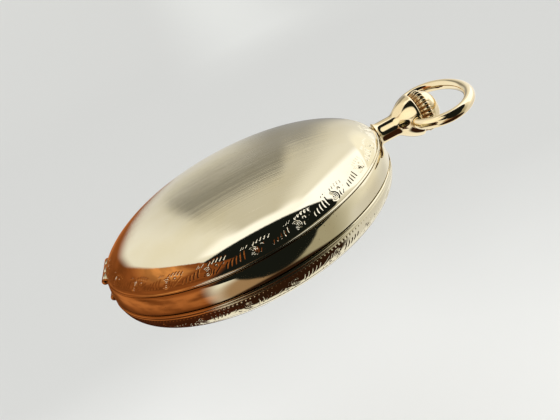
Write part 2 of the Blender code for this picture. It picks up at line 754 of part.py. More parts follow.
def pallet_cock():
    """The small cock over the pallet fork, under the balance."""
    foot_place = polar(21.0 - 5.6, -54.8)
    arm = tapered(PALLET, 1.2, foot_place, 1.2)
    made = flat("pallet_cock", arm, 6.2, 6.6, NICKEL)
    joined(made, cylinder("pallet_cock_foot", 1.1, 6.3, PLATE_BACK - PLATE_GAP, NICKEL, foot_place))
    cut(made, *pivot_holes("pallet_cock_hole", (PALLET,), 6, 7))


# ---------------------------------------------------------------- winding and setting


def winding():
    """Winding pinion, contrate wheel, crown wheel, ratchet wheel, click and spring."""
    pinion = gear("winding_pinion", WINDING_LEAVES, WINDING_RADIUS, 0, 15.6, 17.2, STEEL)
    pinion.rotation_euler = (math.radians(-90), 0, 0)
    pinion.location = (0, 16.4 * MM, PENDANT_Z * MM)
    cut(pinion, along_pendant(bar("pinion_bore", STEM_ROOM, 14, 19, STEEL, 10)))

    heading = direction(CROWN_WHEEL, BARREL)
    crown_wheel = gear(
        "crown_wheel",
        CROWN_WHEEL_TEETH,
        CROWN_WHEEL_RADIUS,
        heading,
        WINDING_BACK,
        WINDING_FRONT,
        STEEL,
        CROWN_WHEEL,
    )
    joined(crown_wheel, cylinder("crown_wheel_hub", 0.95, 4.6, 6.3, STEEL, CROWN_WHEEL))
    gear("contrate_wheel", CONTRATE_TEETH, CONTRATE_RADIUS, 90, 6.4, 7.2, STEEL, CROWN_WHEEL)
    ratchet_phase = meshed_phase(heading, heading, CROWN_WHEEL_TEETH, RATCHET_TEETH)
    ratchet = gear(
        "ratchet_wheel",
        RATCHET_TEETH,
        RATCHET_RADIUS,
        ratchet_phase,
        WINDING_BACK,
        WINDING_FRONT,
        STEEL,
        BARREL,
    )
    cut(ratchet, cylinder("ratchet_hole", 0.73, 4, 5, STEEL, BARREL))

    beak = polar(RATCHET_RADIUS + 0.75, 200, BARREL)
    click = flat("click", tapered(CLICK, 0.95, beak, 0.25), 4.4, 4.7, STEEL)
    joined(click, cylinder("click_post", 0.35, 4.5, 6.0, STEEL, CLICK))
    spring_start = polar(13.6, 205)
    spring_end = polar(17.4, 196)
    flat("click_spring", tapered(spring_start, 0.35, spring_end, 0.12), 4.5, 4.75, BLUED_STEEL)


def setting():
    """The setting lever in its groove, and the wheel that turns the hands."""
    lever = block("setting_lever", (17.0, -0.7, 9.3), (22.6, 0.7, 9.6), STEEL, SETTING_HEADING)
    tip = block("setting_lever_tip", (22.0, -0.9, 9.35), (22.7, 0.9, 9.95), STEEL, SETTING_HEADING)
    joined(lever, tip)
    heading = direction(MINUTE, SETTING)
    phase = meshed_phase(heading, MINUTE_PHASE, MINUTE_TEETH, SETTING_TEETH)
    gear(
        "setting_wheel",
        SETTING_TEETH,
        SETTING_RADIUS,
        phase,
        MOTION_BACK,
        MOTION_SPLIT - 0.03,
        STEEL,
        SETTING,
    )


# ---------------------------------------------------------------- power and going train


def barrel():
    """The going barrel with its cover, arbor and spring."""
    made = gear(
        "mainspring_barrel", BARREL_TEETH, BARREL_RADIUS, BARREL_PHASE, 6.95, 7.35, BRASS, BARREL
    )
    wall = turned(
        "barrel_wall", [(7.1, 7.0), (7.5, 7.0), (7.5, 6.4), (7.1, 6.4)], BRASS, 24, BARREL
    )
    joined(made, wall)
    cut(made, cylinder("barrel_hole", BARREL_HOLE, 6, 8, STEEL, BARREL))
    lid = [(0.8, 6.55), (7.0, 6.55), (7.0, 6.4), (0.8, 6.4)]
    turned("barrel_cover", lid, BRASS, 24, BARREL)
    arbor = [
        (0.0, 9.6),
        (0.65, 9.6),
        (0.65, 6.9),
        (1.1, 6.9),
        (1.1, 6.6),
        (0.65, 6.6),
        (0.65, 4.2),
        (0.0, 4.2),
    ]
    turned("barrel_arbor", arbor, STEEL, 12, BARREL)
    strip = spiral(1.6, 6.7, 3, 0.3, 12)
    spring = flat("mainspring", strip, 6.6, 6.9, BLUED_STEEL)
    spring.location.x = BARREL[0] * MM
    spring.location.y = BARREL[1] * MM


def arbor_wheel(name, place, wheel, pinion, arbor, surface=BRASS):
    """A wheel and pinion on one arbor. wheel and pinion are (teeth, pitch radius, phase,
    back, front), and arbor is (back, front)."""
    made = gear(name, *wheel, surface, place)
    if pinion:
        joined(made, gear(name + "_pinion", *pinion, STEEL, place))
    joined(made, cylinder(name + "_arbor", ARBOR_RADIUS, *arbor, STEEL, place, 8))
    return made


def going_train():
    """Centre, third, fourth and escape wheels, in mesh."""
    barrel()
    to_third = direction(CENTRE, THIRD)
    to_fourth = direction(THIRD, FOURTH)
    to_escape = direction(FOURTH, ESCAPE)
    centre_phase = meshed_phase(direction(BARREL, CENTRE), BARREL_PHASE, BARREL_TEETH, CENTRE_LEAVES)
    third_phase = meshed_phase(to_third, to_third, CENTRE_TEETH, THIRD_LEAVES)
    fourth_phase = meshed_phase(to_fourth, to_fourth, THIRD_TEETH, FOURTH_LEAVES)
    escape_phase = meshed_phase(to_escape, to_escape, FOURTH_TEETH, ESCAPE_LEAVES)
    third_pinion = pinion_radius(CENTRE_RADIUS, CENTRE_TEETH, THIRD_LEAVES)
    fourth_pinion = pinion_radius(THIRD_RADIUS, THIRD_TEETH, FOURTH_LEAVES)
    arbor_wheel(
        "centre_wheel",
        CENTRE,
        (CENTRE_TEETH, CENTRE_RADIUS, to_third, 7.55, 7.8),
        (CENTRE_LEAVES, CENTRE_PINION, centre_phase, 6.85, 7.6),
        (5.0, 11.8),
    )
    arbor_wheel(
        "third_wheel",
        THIRD,
        (THIRD_TEETH, THIRD_RADIUS, to_fourth, 7.05, 7.3),
        (THIRD_LEAVES, third_pinion, third_phase, 7.2, 7.9),
        (5.0, 9.6),
    )
    arbor_wheel(
        "fourth_wheel",
        FOURTH,
        (FOURTH_TEETH, FOURTH_RADIUS, to_escape, 6.55, 6.8),
        (FOURTH_LEAVES, fourth_pinion, fourth_phase, 6.7, 7.45),
        (5.0, 11.05),
    )
    arbor_wheel(
        "escape_wheel",
        ESCAPE,
        (ESCAPE_TEETH, ESCAPE_RADIUS - 0.3, 45, 7.35, 7.55),
        (ESCAPE_LEAVES, ESCAPE_PINION, escape_phase, 6.4, 7.4),
        (5.0, 9.6),
        STEEL,
    )


# ---------------------------------------------------------------- escapement


def escapement():
    """Pallet fork, balance, hairspring and regulator."""
    pallet_fork()
    balance()
    strip = spiral(0.75, 3.4, 4, 0.12, 10)
    hairspring = flat("hairspring", strip, 5.0, 5.14, BLUED_STEEL)
    hairspring.location.x = BALANCE[0] * MM
    hairspring.location.y = BALANCE[1] * MM
    tip = polar(3.0, COCK_HEADING, BALANCE)
    index = flat("regulator", tapered(BALANCE, 1.15, tip, 0.2), 4.1, 4.28, STEEL)
    cut(index, cylinder("regulator_hole", 0.4, 3.5, 4.5, STEEL, BALANCE))


def pallet_fork():
    """The lever between the escape wheel and the balance."""
    to_balance = direction(PALLET, BALANCE)
    to_escape = direction(PALLET, ESCAPE)
    lever_end = polar(3.0, to_balance, PALLET)
    made = flat("pallet_fork", tapered(PALLET, 0.5, lever_end, 0.25), 7.35, 7.55, STEEL)
    for side, turn in (("entry", 90), ("exit", -90)):
        elbow = polar(2.3, to_escape + turn, PALLET)
        stone = polar(1.0, to_escape, elbow)
        joined(
            made,
            flat(f"pallet_arm_{side}", tapered(PALLET, 0.4, elbow, 0.3, 4), 7.37, 7.53, STEEL),
            flat(f"pallet_stone_{side}", tapered(elbow, 0.28, stone, 0.2, 4), 7.36, 7.54, STEEL),
        )
    joined(made, cylinder("pallet_arbor", ARBOR_RADIUS, 6.25, 9.6, STEEL, PALLET, 8))


def balance():
    """The balance wheel with its arm, staff and roller."""
    rim = [(6.4, 5.9), (BALANCE_RADIUS, 5.9), (BALANCE_RADIUS, 5.35), (6.4, 5.35)]
    made = turned("balance_wheel", rim, BRASS, 28, BALANCE)
    arm = block("balance_arm", (-6.7, -0.45, 5.4), (6.7, 0.45, 5.7), BRASS, 20)
    arm.location = (BALANCE[0] * MM, BALANCE[1] * MM, 0)
    joined(
        made,
        arm,
        cylinder("balance_hub", 0.9, 5.3, 6.0, STEEL, BALANCE),
        cylinder("balance_roller", 1.5, 6.6, 6.95, STEEL, BALANCE),
        cylinder("balance_staff", ARBOR_RADIUS, 4.5, 9.6, STEEL, BALANCE, 8),
    )


# ---------------------------------------------------------------- dial side


def motion_work():
    """The cannon pinion, minute wheel and hour wheel, behind the dial."""
    cannon = gear(
        "cannon_pinion", CANNON_TEETH, CANNON_RADIUS, TO_MINUTE, MOTION_BACK, 9.97, STEEL, CENTRE
    )
    joined(cannon, cylinder("cannon_tube", 0.72, 9.85, 11.75, STEEL, CENTRE))
    cut(cannon, cylinder("cannon_bore", 0.3, 9, 13, STEEL, CENTRE))
    minute_heading = direction(MINUTE, CENTRE)
    minute = gear(
        "minute_wheel", MINUTE_TEETH, MINUTE_RADIUS, MINUTE_PHASE, MOTION_BACK, 9.97, BRASS, MINUTE
    )
    leaf = gear(
        "minute_pinion",
        MINUTE_LEAVES,
        MINUTE_PINION,
        minute_heading,
        9.9,
        MOTION_FRONT,
        STEEL,
        MINUTE,
    )
    joined(minute, leaf)
    hour_phase = meshed_phase(minute_heading, minute_heading, MINUTE_LEAVES, HOUR_TEETH)
    hour = gear("hour_wheel", HOUR_TEETH, HOUR_RADIUS, hour_phase, 10.05, MOTION_FRONT, BRASS, CENTRE)
    joined(hour, cylinder("hour_tube", 1.15, 10.1, 11.2, BRASS, CENTRE))
    cut(hour, cylinder("hour_bore", 0.85, 9, 13, STEEL, CENTRE))


def dial():
    """The dial, with holes for the hour wheel's tube and the seconds arbor."""
    profile = [
        (1.4, DIAL_FRONT),
        (DIAL_RADIUS, DIAL_FRONT),
        (DIAL_RADIUS, DIAL_BACK),
        (1.4, DIAL_BACK),
    ]
    made = turned("dial", profile, ENAMEL, MOVEMENT_STEPS)
    cut(made, cylinder("seconds_hole", 0.45, 10, 11, STEEL, FOURTH))


def hand(name, centre, clock_turn, length, boss, bore, back, front):
    """A tapered hand. clock_turn is its turn from 12 o'clock, which lies at -X."""
    heading = 180 - 360 * clock_turn
    outline = tapered(centre, boss * 0.45, polar(length, heading, centre), boss * 0.12, 4)
    made = flat(name, outline, back, front, BLUED_STEEL)
    joined(made, cylinder(name + "_boss", boss, back, front + 0.05, BLUED_STEEL, centre))
    cut(made, cylinder(name + "_bore", bore, back - 1, front + 1, STEEL, centre))


def hands():
    """The three hands at the time shown."""
    minute_turn = (MINUTES + SECONDS / 60) / 60
    hour_turn = (HOURS + minute_turn) / 12
    hand("hour_hand", CENTRE, hour_turn, 10.5, 1.8, 1.22, *HOUR_HAND)
    hand("minute_hand", CENTRE, minute_turn, 16.5, 1.4, 0.79, *MINUTE_HAND)
    hand("seconds_hand", FOURTH, SECONDS / 60, 4.6, 0.7, 0.29, *SECONDS_HAND)


# ---------------------------------------------------------------- the watch

case()
pendant()
crown()
bow()
case_springs()
frame()
winding()
setting()
going_train()
escapement()
motion_work()
dial()
hands()
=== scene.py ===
"""Looks for the hunter pocket watch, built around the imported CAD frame. Lengths are
in millimetres and scaled to metres as each mesh is made. +Z runs through the dial to
the front cover, +Y along the pendant, and 12 o'clock is at -X."""

import math

import bpy
import numpy as np
from mathutils import Matrix, Vector


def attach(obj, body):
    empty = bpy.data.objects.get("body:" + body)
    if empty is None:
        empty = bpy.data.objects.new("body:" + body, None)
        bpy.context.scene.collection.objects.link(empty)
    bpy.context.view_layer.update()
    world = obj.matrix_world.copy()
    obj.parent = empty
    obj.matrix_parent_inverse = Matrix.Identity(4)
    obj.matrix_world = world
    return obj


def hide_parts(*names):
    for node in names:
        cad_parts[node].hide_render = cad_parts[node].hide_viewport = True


MM = 0.001

# Camera
CAMERA_PLACE = (106.3, 4.1, 48.2)
CAMERA_AIM = (2.0, 5.4, 5.6)
CAMERA_ROLL = -28.1
CAMERA_LENS = 41.8

# Case, as in the CAD
CASE_RADIUS, FRONT_RIM, FRONT_DOME = 26.0, 10.26, 6.1
FRONT_SHAPE = (2.65, 1.49)
REAR_RADIUS, REAR_RIM = 26.45, 6.84
REAR_SHAPE = (3.8, 2.4)
COVER_WALL = 0.5
BACK_FLAT = 6.0
PENDANT_Z = 8.55
FRONT_HINGE = (25.95, 10.15)
REAR_HINGE = (26.2, 6.9)
DUST_HINGE = (24.4, 5.56)
KNUCKLE, DUST_KNUCKLE = 0.6, 0.34
KNUCKLE_INNER, KNUCKLE_START, KNUCKLE_OUTER = 1.65, 1.75, 4.4
DUST_RADIUS, DUST_BASE, DUST_RISE, DUST_WALL = 24.3, 2.9, 2.3, 0.4
CRYSTAL_RADIUS, CRYSTAL_TOP, CRYSTAL_UNDER = 22.0, 12.75, 12.2
CRYSTAL_TOP_FALL, CRYSTAL_UNDER_FALL = 1.25, 1.05

# Mesh fineness
COLUMNS = 300
BORDER_COLUMNS = 1800
PENDANT_COLUMNS = 128
DIAL_COLUMNS = 160
SHARP_ANGLE = math.radians(42)

# Engraved borders, as distances from the rim along the dome
UNITS = 22
UNIT = 7.15
UNIT_PHASE = math.radians(3.6)
CUT_DEPTH = 0.07
FRONT_BORDER, FRONT_ROW = (0.2, 3.35), 0.085
REAR_BORDER, REAR_ROW = (0.55, 3.9), 0.1
PEARL_PITCH, PEARL_RADIUS, PEARL_PLACE = 0.65, 0.17, 0.95

# Pendant, crown and bow
CUP_RIM, CUP_FLOOR = 34.05, 31.9
CROWN_TOP, CROWN_BASE = 38.3, 33.1
SKIRT_DROP = 2.05  # where the crown's skirt starts, below its top
CROWN_RIBS = 28
SOCKET_START = 3.62
BOW_PIVOT, BOW_CENTRE = 33.0, 37.7
BOW_HALF_WIDTH, BOW_HALF_LENGTH = 9.35, 5.8
BOW_TILT = math.radians(4)
BOW_WIDE, BOW_DEEP = (1.00, 0.07), (0.98, 0.04)  # half of each at the ends, and what it loses

# Dial
DIAL_TOP, DIAL_RADIUS, DIAL_WALL, DIAL_HOLE = 10.7, 20.9, 0.3, 1.35
MINUTE_TRACK = (18.2, 19.15)
SECONDS_CENTRE = (9.6, 0.0)
SECONDS_RADIUS, SECONDS_SINK, SECONDS_HOLE = 4.9, 0.22, 0.3
SECONDS_TRACK = (SECONDS_RADIUS - 0.95, SECONDS_RADIUS - 0.35)
TENS_START = SECONDS_RADIUS - 1.3
NUMERAL_FOOT, NUMERAL_HEIGHT = 13.9, 3.3
HOURS, MINUTES, SECONDS = 10, 9, 36

# Floor, whose near, far and beyond tones paint shade on it
FLOOR = -56.0
FLOOR_FLAT, FLOOR_SWEEP, BACKDROP = 700.0, 800.0, 1500.0
NEAR_TONE, FAR_TONE, BEYOND_TONE = (0.985, 0.99, 0.98), (0.745, 0.75, 0.74), (0.85, 0.86, 0.845)

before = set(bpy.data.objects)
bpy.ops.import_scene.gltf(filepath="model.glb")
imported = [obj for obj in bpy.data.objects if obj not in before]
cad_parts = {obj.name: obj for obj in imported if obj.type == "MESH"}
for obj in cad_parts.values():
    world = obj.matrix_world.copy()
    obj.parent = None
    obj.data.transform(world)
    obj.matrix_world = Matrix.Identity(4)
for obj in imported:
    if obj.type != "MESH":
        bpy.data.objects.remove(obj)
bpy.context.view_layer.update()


# -------------------- mesh tools


def new_object(name, verts, faces, surface):
    """A smooth-shaded object from vertices in millimetres."""
    mesh = bpy.data.meshes.new(name)
    mesh.from_pydata((np.asarray(verts, float) * MM).tolist(), [], faces)
    mesh.validate()
    mesh.materials.append(surface)
    mesh.shade_smooth()
    made = bpy.data.objects.new(name, mesh)
    bpy.context.scene.collection.objects.link(made)
    return made


class Shape:
    """Vertices and faces of one piece, collected from several closed shapes."""

    def __init__(self):
        self.verts = []
        self.faces = []

    def add(self, verts, faces):
        """Adds a shape's vertices and faces."""
        start = len(self.verts)
        self.verts.extend(np.asarray(verts, float).tolist())
        self.faces.extend([tuple(start + i for i in face) for face in faces])
        return self

    def build(self, name, surface, body, node, slot):
        """Makes the piece, which rides on a body and may replace a CAD node."""
        made = new_object(name, self.verts, self.faces, surface)
        made.data.set_sharp_from_angle(angle=SHARP_ANGLE)
        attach(made, body)
        if node:
            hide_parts(node)


def ring(radius, height, columns, relief=None):
    """A ring of points about Z. relief gives (outward, upward) moves for each angle."""
    turn = 2 * math.pi * np.arange(columns) / columns
    out, up = relief(turn) if relief else (0.0, 0.0)
    far = radius + out
    return np.column_stack([far * np.cos(turn), far * np.sin(turn), height + up + 0 * turn])


def bridge_rings(first, first_count, second, second_count):
    """Faces between two rings, given where each starts. Where one ring is finer, it has a
    whole number of points to each of the other's."""
    faces = []
    coarse = min(first_count, second_count)
    one, two = first_count // coarse, second_count // coarse
    for i in range(coarse):
        near = [first + (i * one + k) % first_count for k in range(one + 1)]
        far = [second + (i * two + k) % second_count for k in range(two + 1)]
        faces.append(tuple(near[::-1] + far))
    return faces


def turned(rings, closed=True):
    """Vertices and faces of a solid turned about Z. rings run down its outer side, and a
    ring of radius 0 is a single point. closed joins the last ring to the first."""
    verts, starts, counts = [], [], []
    for radius, height, columns, *relief in rings:
        starts.append(len(verts))
        if radius == 0:
            verts.append((0.0, 0.0, height))
            counts.append(1)
        else:
            verts.extend(ring(radius, height, columns, *relief).tolist())
            counts.append(columns)
    faces = []
    pairs = list(zip(range(len(rings) - 1), range(1, len(rings))))
    if closed:
        pairs.append((len(rings) - 1, 0))
    for a, b in pairs:
        if counts[a] == 1 and counts[b] == 1:
            continue
        if counts[a] == 1:
            count = counts[b]
            faces += [(starts[a], starts[b] + i, starts[b] + (i + 1) % count) for i in range(count)]
        elif counts[b] == 1:
            count = counts[a]
            faces += [(starts[a] + (i + 1) % count, starts[a] + i, starts[b]) for i in range(count)]
        else:
            faces += bridge_rings(starts[a], counts[a], starts[b], counts[b])
    return verts, faces


def rounded(profile, radii):
    """A closed profile with each corner rounded by its own radius."""
    count, steps = len(profile), 4
    points = []
    for i, corner in enumerate(np.asarray(profile, float)):
        before = np.asarray(profile[i - 1], float)
        after = np.asarray(profile[(i + 1) % count], float)
        reach = min(radii[i], *(math.dist(corner, p) * 0.45 for p in (before, after)))
        start = corner + (before - corner) * reach / math.dist(corner, before)
        end = corner + (after - corner) * reach / math.dist(corner, after)
        for k in range(steps + 1):
            t = k / steps
            points.append(tuple((1 - t) ** 2 * start + 2 * t * (1 - t) * corner + t * t * end))
    return points


def rings_of(profile, columns=COLUMNS):
    """Rings for turned(), from (radius, height) points."""
    return [(max(r, 0.0), z, columns) for r, z in profile]


def offsets(radius, height, moves):
    """Profile points, from their moves off a corner."""
    return [(radius + out, height + up) for out, up in moves]


def move(verts, rotation=None, offset=(0, 0, 0)):
    """Vertices turned by a matrix and then moved."""
    points = np.asarray(verts, float)
    if rotation is not None:
        points = points @ np.array(rotation.to_3x3()).T
    return points + np.asarray(offset, float)


ALONG_PENDANT = Matrix.Rotation(math.radians(-90), 4, "X")
ALONG_X = Matrix.Rotation(math.radians(90), 4, "Y")


def pendant_shape(rings, closed=True):
    """A turned shape whose axis is the pendant's."""
    verts, faces = turned(rings, closed)
    return move(verts, ALONG_PENDANT, (0, 0, PENDANT_Z)), faces


def knuckle(shape, left, right, hinge, radius):
    """Adds a hinge's barrel with softened ends, along X."""
    distance, height = hinge
    edge = 0.08
    bevel = 0.3 * edge
    profile = [
        (0, right), (radius - edge, right), (radius - bevel, right - bevel),
        (radius, right - edge), (radius, left + edge), (radius - bevel, left + bevel),
        (radius - edge, left), (0, left),
    ]
    verts, faces = turned(rings_of(profile, 40), closed=False)
    shape.add(move(verts, ALONG_X, (0, -distance, height)), faces)


def cover_knuckles(shape, hinge, radius):
    """Adds the two outer barrels of a cover's hinge."""
    knuckle(shape, -KNUCKLE_OUTER, -KNUCKLE_START, hinge, radius)
    knuckle(shape, KNUCKLE_START, KNUCKLE_OUTER, hinge, radius)


# -------------------- procedural materials


class Nodes:
    """Short calls for a node tree."""

    def __init__(self, tree):
        self.tree = tree

    def add(self, kind, values=(), **settings):
        """A node with its settings and its inputs' values or links."""
        node = self.tree.nodes.new(kind)
        for key, value in settings.items():
            setattr(node, key, value)
        for key, value in dict(values).items():
            if isinstance(value, bpy.types.NodeSocket):
                self.tree.links.new(value, node.inputs[key])
            else:
                node.inputs[key].default_value = value
        return node

    def maths(self, operation, *values):
        """A Math node's result."""
        return self.add("ShaderNodeMath", enumerate(values), operation=operation).outputs[0]

    def times(self, first, second):
        """A product."""
        return self.maths("MULTIPLY", first, second)

    def plus(self, first, second):
        """A sum."""
        return self.maths("ADD", first, second)

    def split(self, place):
        """A vector's three values."""
        return self.add("ShaderNodeSeparateXYZ", {"Vector": place}).outputs

    def reach(self, first, second):
        """The distance from an axis, from the two values across it."""
        flat = self.add("ShaderNodeCombineXYZ", {"X": first, "Y": second}).outputs[0]
        return self.add("ShaderNodeVectorMath", {0: flat}, operation="LENGTH").outputs["Value"]

    def ramp(self, value, low, high, start=0.0, end=1.0):
        """value from low..high carried to start..end, with a smooth step."""
        values = {"Value": value, "From Min": low, "From Max": high, "To Min": start, "To Max": end}
        return self.add("ShaderNodeMapRange", values, interpolation_type="SMOOTHSTEP").outputs[0]

    def mix(self, factor, first, second):
        """A colour between two, each of them linked or given as three values."""
        values = [v if isinstance(v, bpy.types.NodeSocket) else rgba(v) for v in (first, second)]
        inputs = {0: factor, 6: values[0], 7: values[1]}
        return self.add("ShaderNodeMix", inputs, data_type="RGBA").outputs[2]

    def noise(self, place, scale, detail=2.0):
        """A noise's value."""
        values = {"Vector": place, "Scale": scale, "Detail": detail}
        return self.add("ShaderNodeTexNoise", values).outputs[0]

    def waves(self, place, scale, distortion, **settings):
        """A wave texture's value."""
        values = {"Vector": place, "Scale": scale, "Distortion": distortion}
        return self.add("ShaderNodeTexWave", values, **settings).outputs[1]

    def stretched(self, place, scale):
        """Coordinates stretched by a scale for each axis."""
        return self.add("ShaderNodeMapping", {"Vector": place, "Scale": scale}).outputs[0]


def rgba(colour):
    """A colour with full alpha."""
    return (*colour, 1.0)


def new_material(name):
    """A material's node tools, its shader and its place in millimetres."""
    made = bpy.data.materials.new(name)
    made.use_nodes = True
    nodes = Nodes(made.node_tree)
    shader = made.node_tree.nodes["Principled BSDF"]
    place = nodes.add("ShaderNodeTexCoord").outputs["Object"]
    return made, nodes, shader, nodes.stretched(place, (1000, 1000, 1000))


def link(nodes, shader, name, value):
    """Links a value to one of the shader's inputs."""
    nodes.tree.links.new(value, shader.inputs[name])


def apply_finish(nodes, shader, finish, depth):
    """Gives the shader a finish, which is a tone, a roughness and a height, whose bump is
    this deep in millimetres for a height of 1."""
    tone, rough, height = finish
    bump = nodes.add("ShaderNodeBump", {"Height": height, "Distance": depth * MM, "Strength": 1.0})
    link(nodes, shader, "Base Color", tone)
    link(nodes, shader, "Roughness", rough)
    link(nodes, shader, "Normal", bump.outputs[0])


def show_mix(nodes, share, first, second):
    """Makes a mix of two shaders the material's surface."""
    values = {0: share, 1: first.outputs[0], 2: second.outputs[0]}
    both = nodes.add("ShaderNodeMixShader", values).outputs[0]
    nodes.tree.links.new(both, nodes.tree.nodes["Material Output"].inputs["Surface"])


def hairlines(nodes, place, heading, pitch):
    """Fine scratches along one heading, in degrees from +X."""
    values = {"Vector": place, "Rotation": (0, 0, math.radians(-heading))}
    turn = nodes.add("ShaderNodeMapping", values).outputs[0]
    return nodes.noise(nodes.stretched(turn, (0.04 / pitch, 1 / pitch, 0.3 / pitch)), 1.0, 3.0)


def with_pits(nodes, place, finish, deep, wear):
    """A finish with clusters of dull, dark pits."""
    tone, rough, height = finish
    cells = nodes.add("ShaderNodeTexVoronoi", {"Vector": place, "Scale": 1.9}).outputs[0]
    worn = nodes.ramp(nodes.noise(place, 0.22, 2.0), 0.5, 0.62)
    pit = nodes.times(nodes.ramp(cells, 0.16, 0.06), worn)
    height = nodes.maths("SUBTRACT", height, nodes.times(pit, 10.0 * wear))
    tone = nodes.mix(pit, tone, [c * 0.35 for c in deep])
    return tone, nodes.plus(rough, nodes.times(pit, 0.3)), height


def with_turned_field(nodes, place, finish, radius):
    """A finish with fine engine-turned lines along Y within a radius of the front dome."""
    tone, rough, height = finish
    across, along, up = nodes.split(place)
    reach = nodes.reach(across, along)
    above = nodes.ramp(up, FRONT_RIM + 1.2, FRONT_RIM + 1.6)
    field = nodes.times(nodes.ramp(reach, radius, radius - 2.5), above)
    border = nodes.times(nodes.ramp(reach, radius, radius + 1.5), above)
    broad = nodes.noise(nodes.stretched(place, (2.4, 0.012, 0.0)), 1.0, 2.0)
    narrow = nodes.noise(nodes.stretched(place, (7.0, 0.03, 0.0)), 1.0, 3.0)
    lines = nodes.times(nodes.plus(nodes.times(broad, 24.0), nodes.times(narrow, 13.0)), field)
    lines = nodes.plus(lines, nodes.times(nodes.noise(place, 3.0, 3.0), border))
    return tone, nodes.plus(rough, nodes.times(field, 0.03)), nodes.plus(height, lines)


def with_painted_groove_shade(nodes, place, finish, floor):
    """A finish with shade painted into the crown's grooves, whose floors are this far
    from the pendant's axis: there its colour is deeper and darker, and it is duller."""
    tone, rough, height = finish
    across, along, up = nodes.split(place)
    reach = nodes.reach(across, nodes.maths("SUBTRACT", up, PENDANT_Z))
    skirt = nodes.ramp(along, CROWN_TOP - SKIRT_DROP, CROWN_TOP - SKIRT_DROP - 0.15)
    groove_shade = nodes.times(nodes.ramp(reach, floor + 0.28, floor), skirt)
    # painted shade: the grooves' colour is mixed towards a deeper, darker gold
    tone = nodes.mix(groove_shade, tone, (0.72, 0.42, 0.15))
    return tone, nodes.plus(rough, nodes.times(groove_shade, 0.35)), height


def gold(name, colour, deep, roughness=0.06, field=None, wear=0.0, grooves=None):
    """Polished gold: slight colour drift, smears and hairlines. field is the radius of the
    engine-turned lines, wear the depth of its pits and grooves the reach of the crown's grooves, which
    get painted shade."""
    made, nodes, shader, place = new_material(name)
    drift = nodes.noise(place, 0.12, 3.0)
    tone = nodes.mix(nodes.ramp(drift, 0.35, 0.7), colour, deep)
    rough = nodes.ramp(drift, 0.3, 0.75, roughness * 0.7, roughness * 1.5)
    first, second = hairlines(nodes, place, 25, 0.35), hairlines(nodes, place, -50, 0.5)
    height = nodes.plus(nodes.times(first, 0.30), nodes.times(second, 0.22))
    height = nodes.plus(height, nodes.times(nodes.noise(place, 2.2, 4.0), 0.25))
    finish = (tone, rough, height)
    if wear:
        finish = with_pits(nodes, place, finish, deep, wear)
    if field:
        finish = with_turned_field(nodes, place, finish, field)
    if grooves:
        finish = with_painted_groove_shade(nodes, place, finish, grooves)
    shader.inputs["Metallic"].default_value = 1.0
    apply_finish(nodes, shader, finish, 0.0012)
    return made


def worked_metal(name, colour, deep, roughness, pattern, depth=0.002):
    """A movement's metal: striped, circular or straight grain over a colour drift."""
    made, nodes, shader, place = new_material(name)
    if pattern == "stripes":
        wave = nodes.waves(place, 0.16, 0.0, bands_direction="DIAGONAL", wave_profile="SAW")
        height = nodes.plus(wave, nodes.times(hairlines(nodes, place, 45, 0.12), 0.25))
    elif pattern == "rings":
        rings = nodes.waves(place, 3.0, 0.6, wave_type="RINGS", rings_direction="Z")
        wave = nodes.noise(place, 5.0, 3.0)
        height = nodes.plus(rings, nodes.times(wave, 0.5))
    elif pattern == "spots":
        values = {"Vector": place, "Scale": 0.9, "Randomness": 0.15}
        wave = nodes.add("ShaderNodeTexVoronoi", values).outputs[0]
        height = nodes.times(nodes.maths("SINE", nodes.times(wave, 40.0)), 0.5)
    else:
        wave = hairlines(nodes, place, 90, 0.15)
        height = wave
    drift = nodes.noise(place, 0.3, 3.0)
    tone = nodes.mix(nodes.ramp(drift, 0.3, 0.7), colour, deep)
    rough = nodes.ramp(wave, 0.2, 0.8, roughness * 0.75, roughness * 1.3)
    shader.inputs["Metallic"].default_value = 1.0
    apply_finish(nodes, shader, (tone, rough, height), depth)
    return made


def enamel(name, colour, deep, roughness=0.12):
    """Fired enamel: faint waves and specks under a glassy surface."""
    made, nodes, shader, place = new_material(name)
    specks = nodes.ramp(nodes.noise(place, 6.0, 4.0), 0.66, 0.74)
    drift = nodes.ramp(nodes.noise(place, 0.15, 2.0), 0.35, 0.65)
    tone = nodes.mix(drift, colour, deep)
    tone = nodes.mix(nodes.times(specks, 0.25), tone, [c * 0.8 for c in deep])
    rough = nodes.ramp(nodes.noise(place, 0.8), 0.3, 0.7, roughness * 0.7, roughness * 1.5)
    shader.inputs["Coat Weight"].default_value = 0.4
    apply_finish(nodes, shader, (tone, rough, nodes.noise(place, 0.5, 2.0)), 0.004)
    return made


def clear_glass(name):
    """Thin clear glass: what is behind it shows, under a sharp reflection and faint smears."""
    made, nodes, shader, place = new_material(name)
    nodes.tree.nodes.remove(shader)
    smear = nodes.ramp(nodes.noise(place, 0.25, 4.0), 0.35, 0.75, 0.0, 0.12)
    gloss = nodes.add("ShaderNodeBsdfGlossy", {"Color": rgba((1, 1, 1)), "Roughness": smear})
    clear = nodes.add("ShaderNodeBsdfTransparent", {"Color": rgba((0.97, 0.985, 0.98))})
    edge = nodes.add("ShaderNodeFresnel", {"IOR": 1.45})
    show_mix(nodes, edge.outputs[0], clear, gloss)
    return made


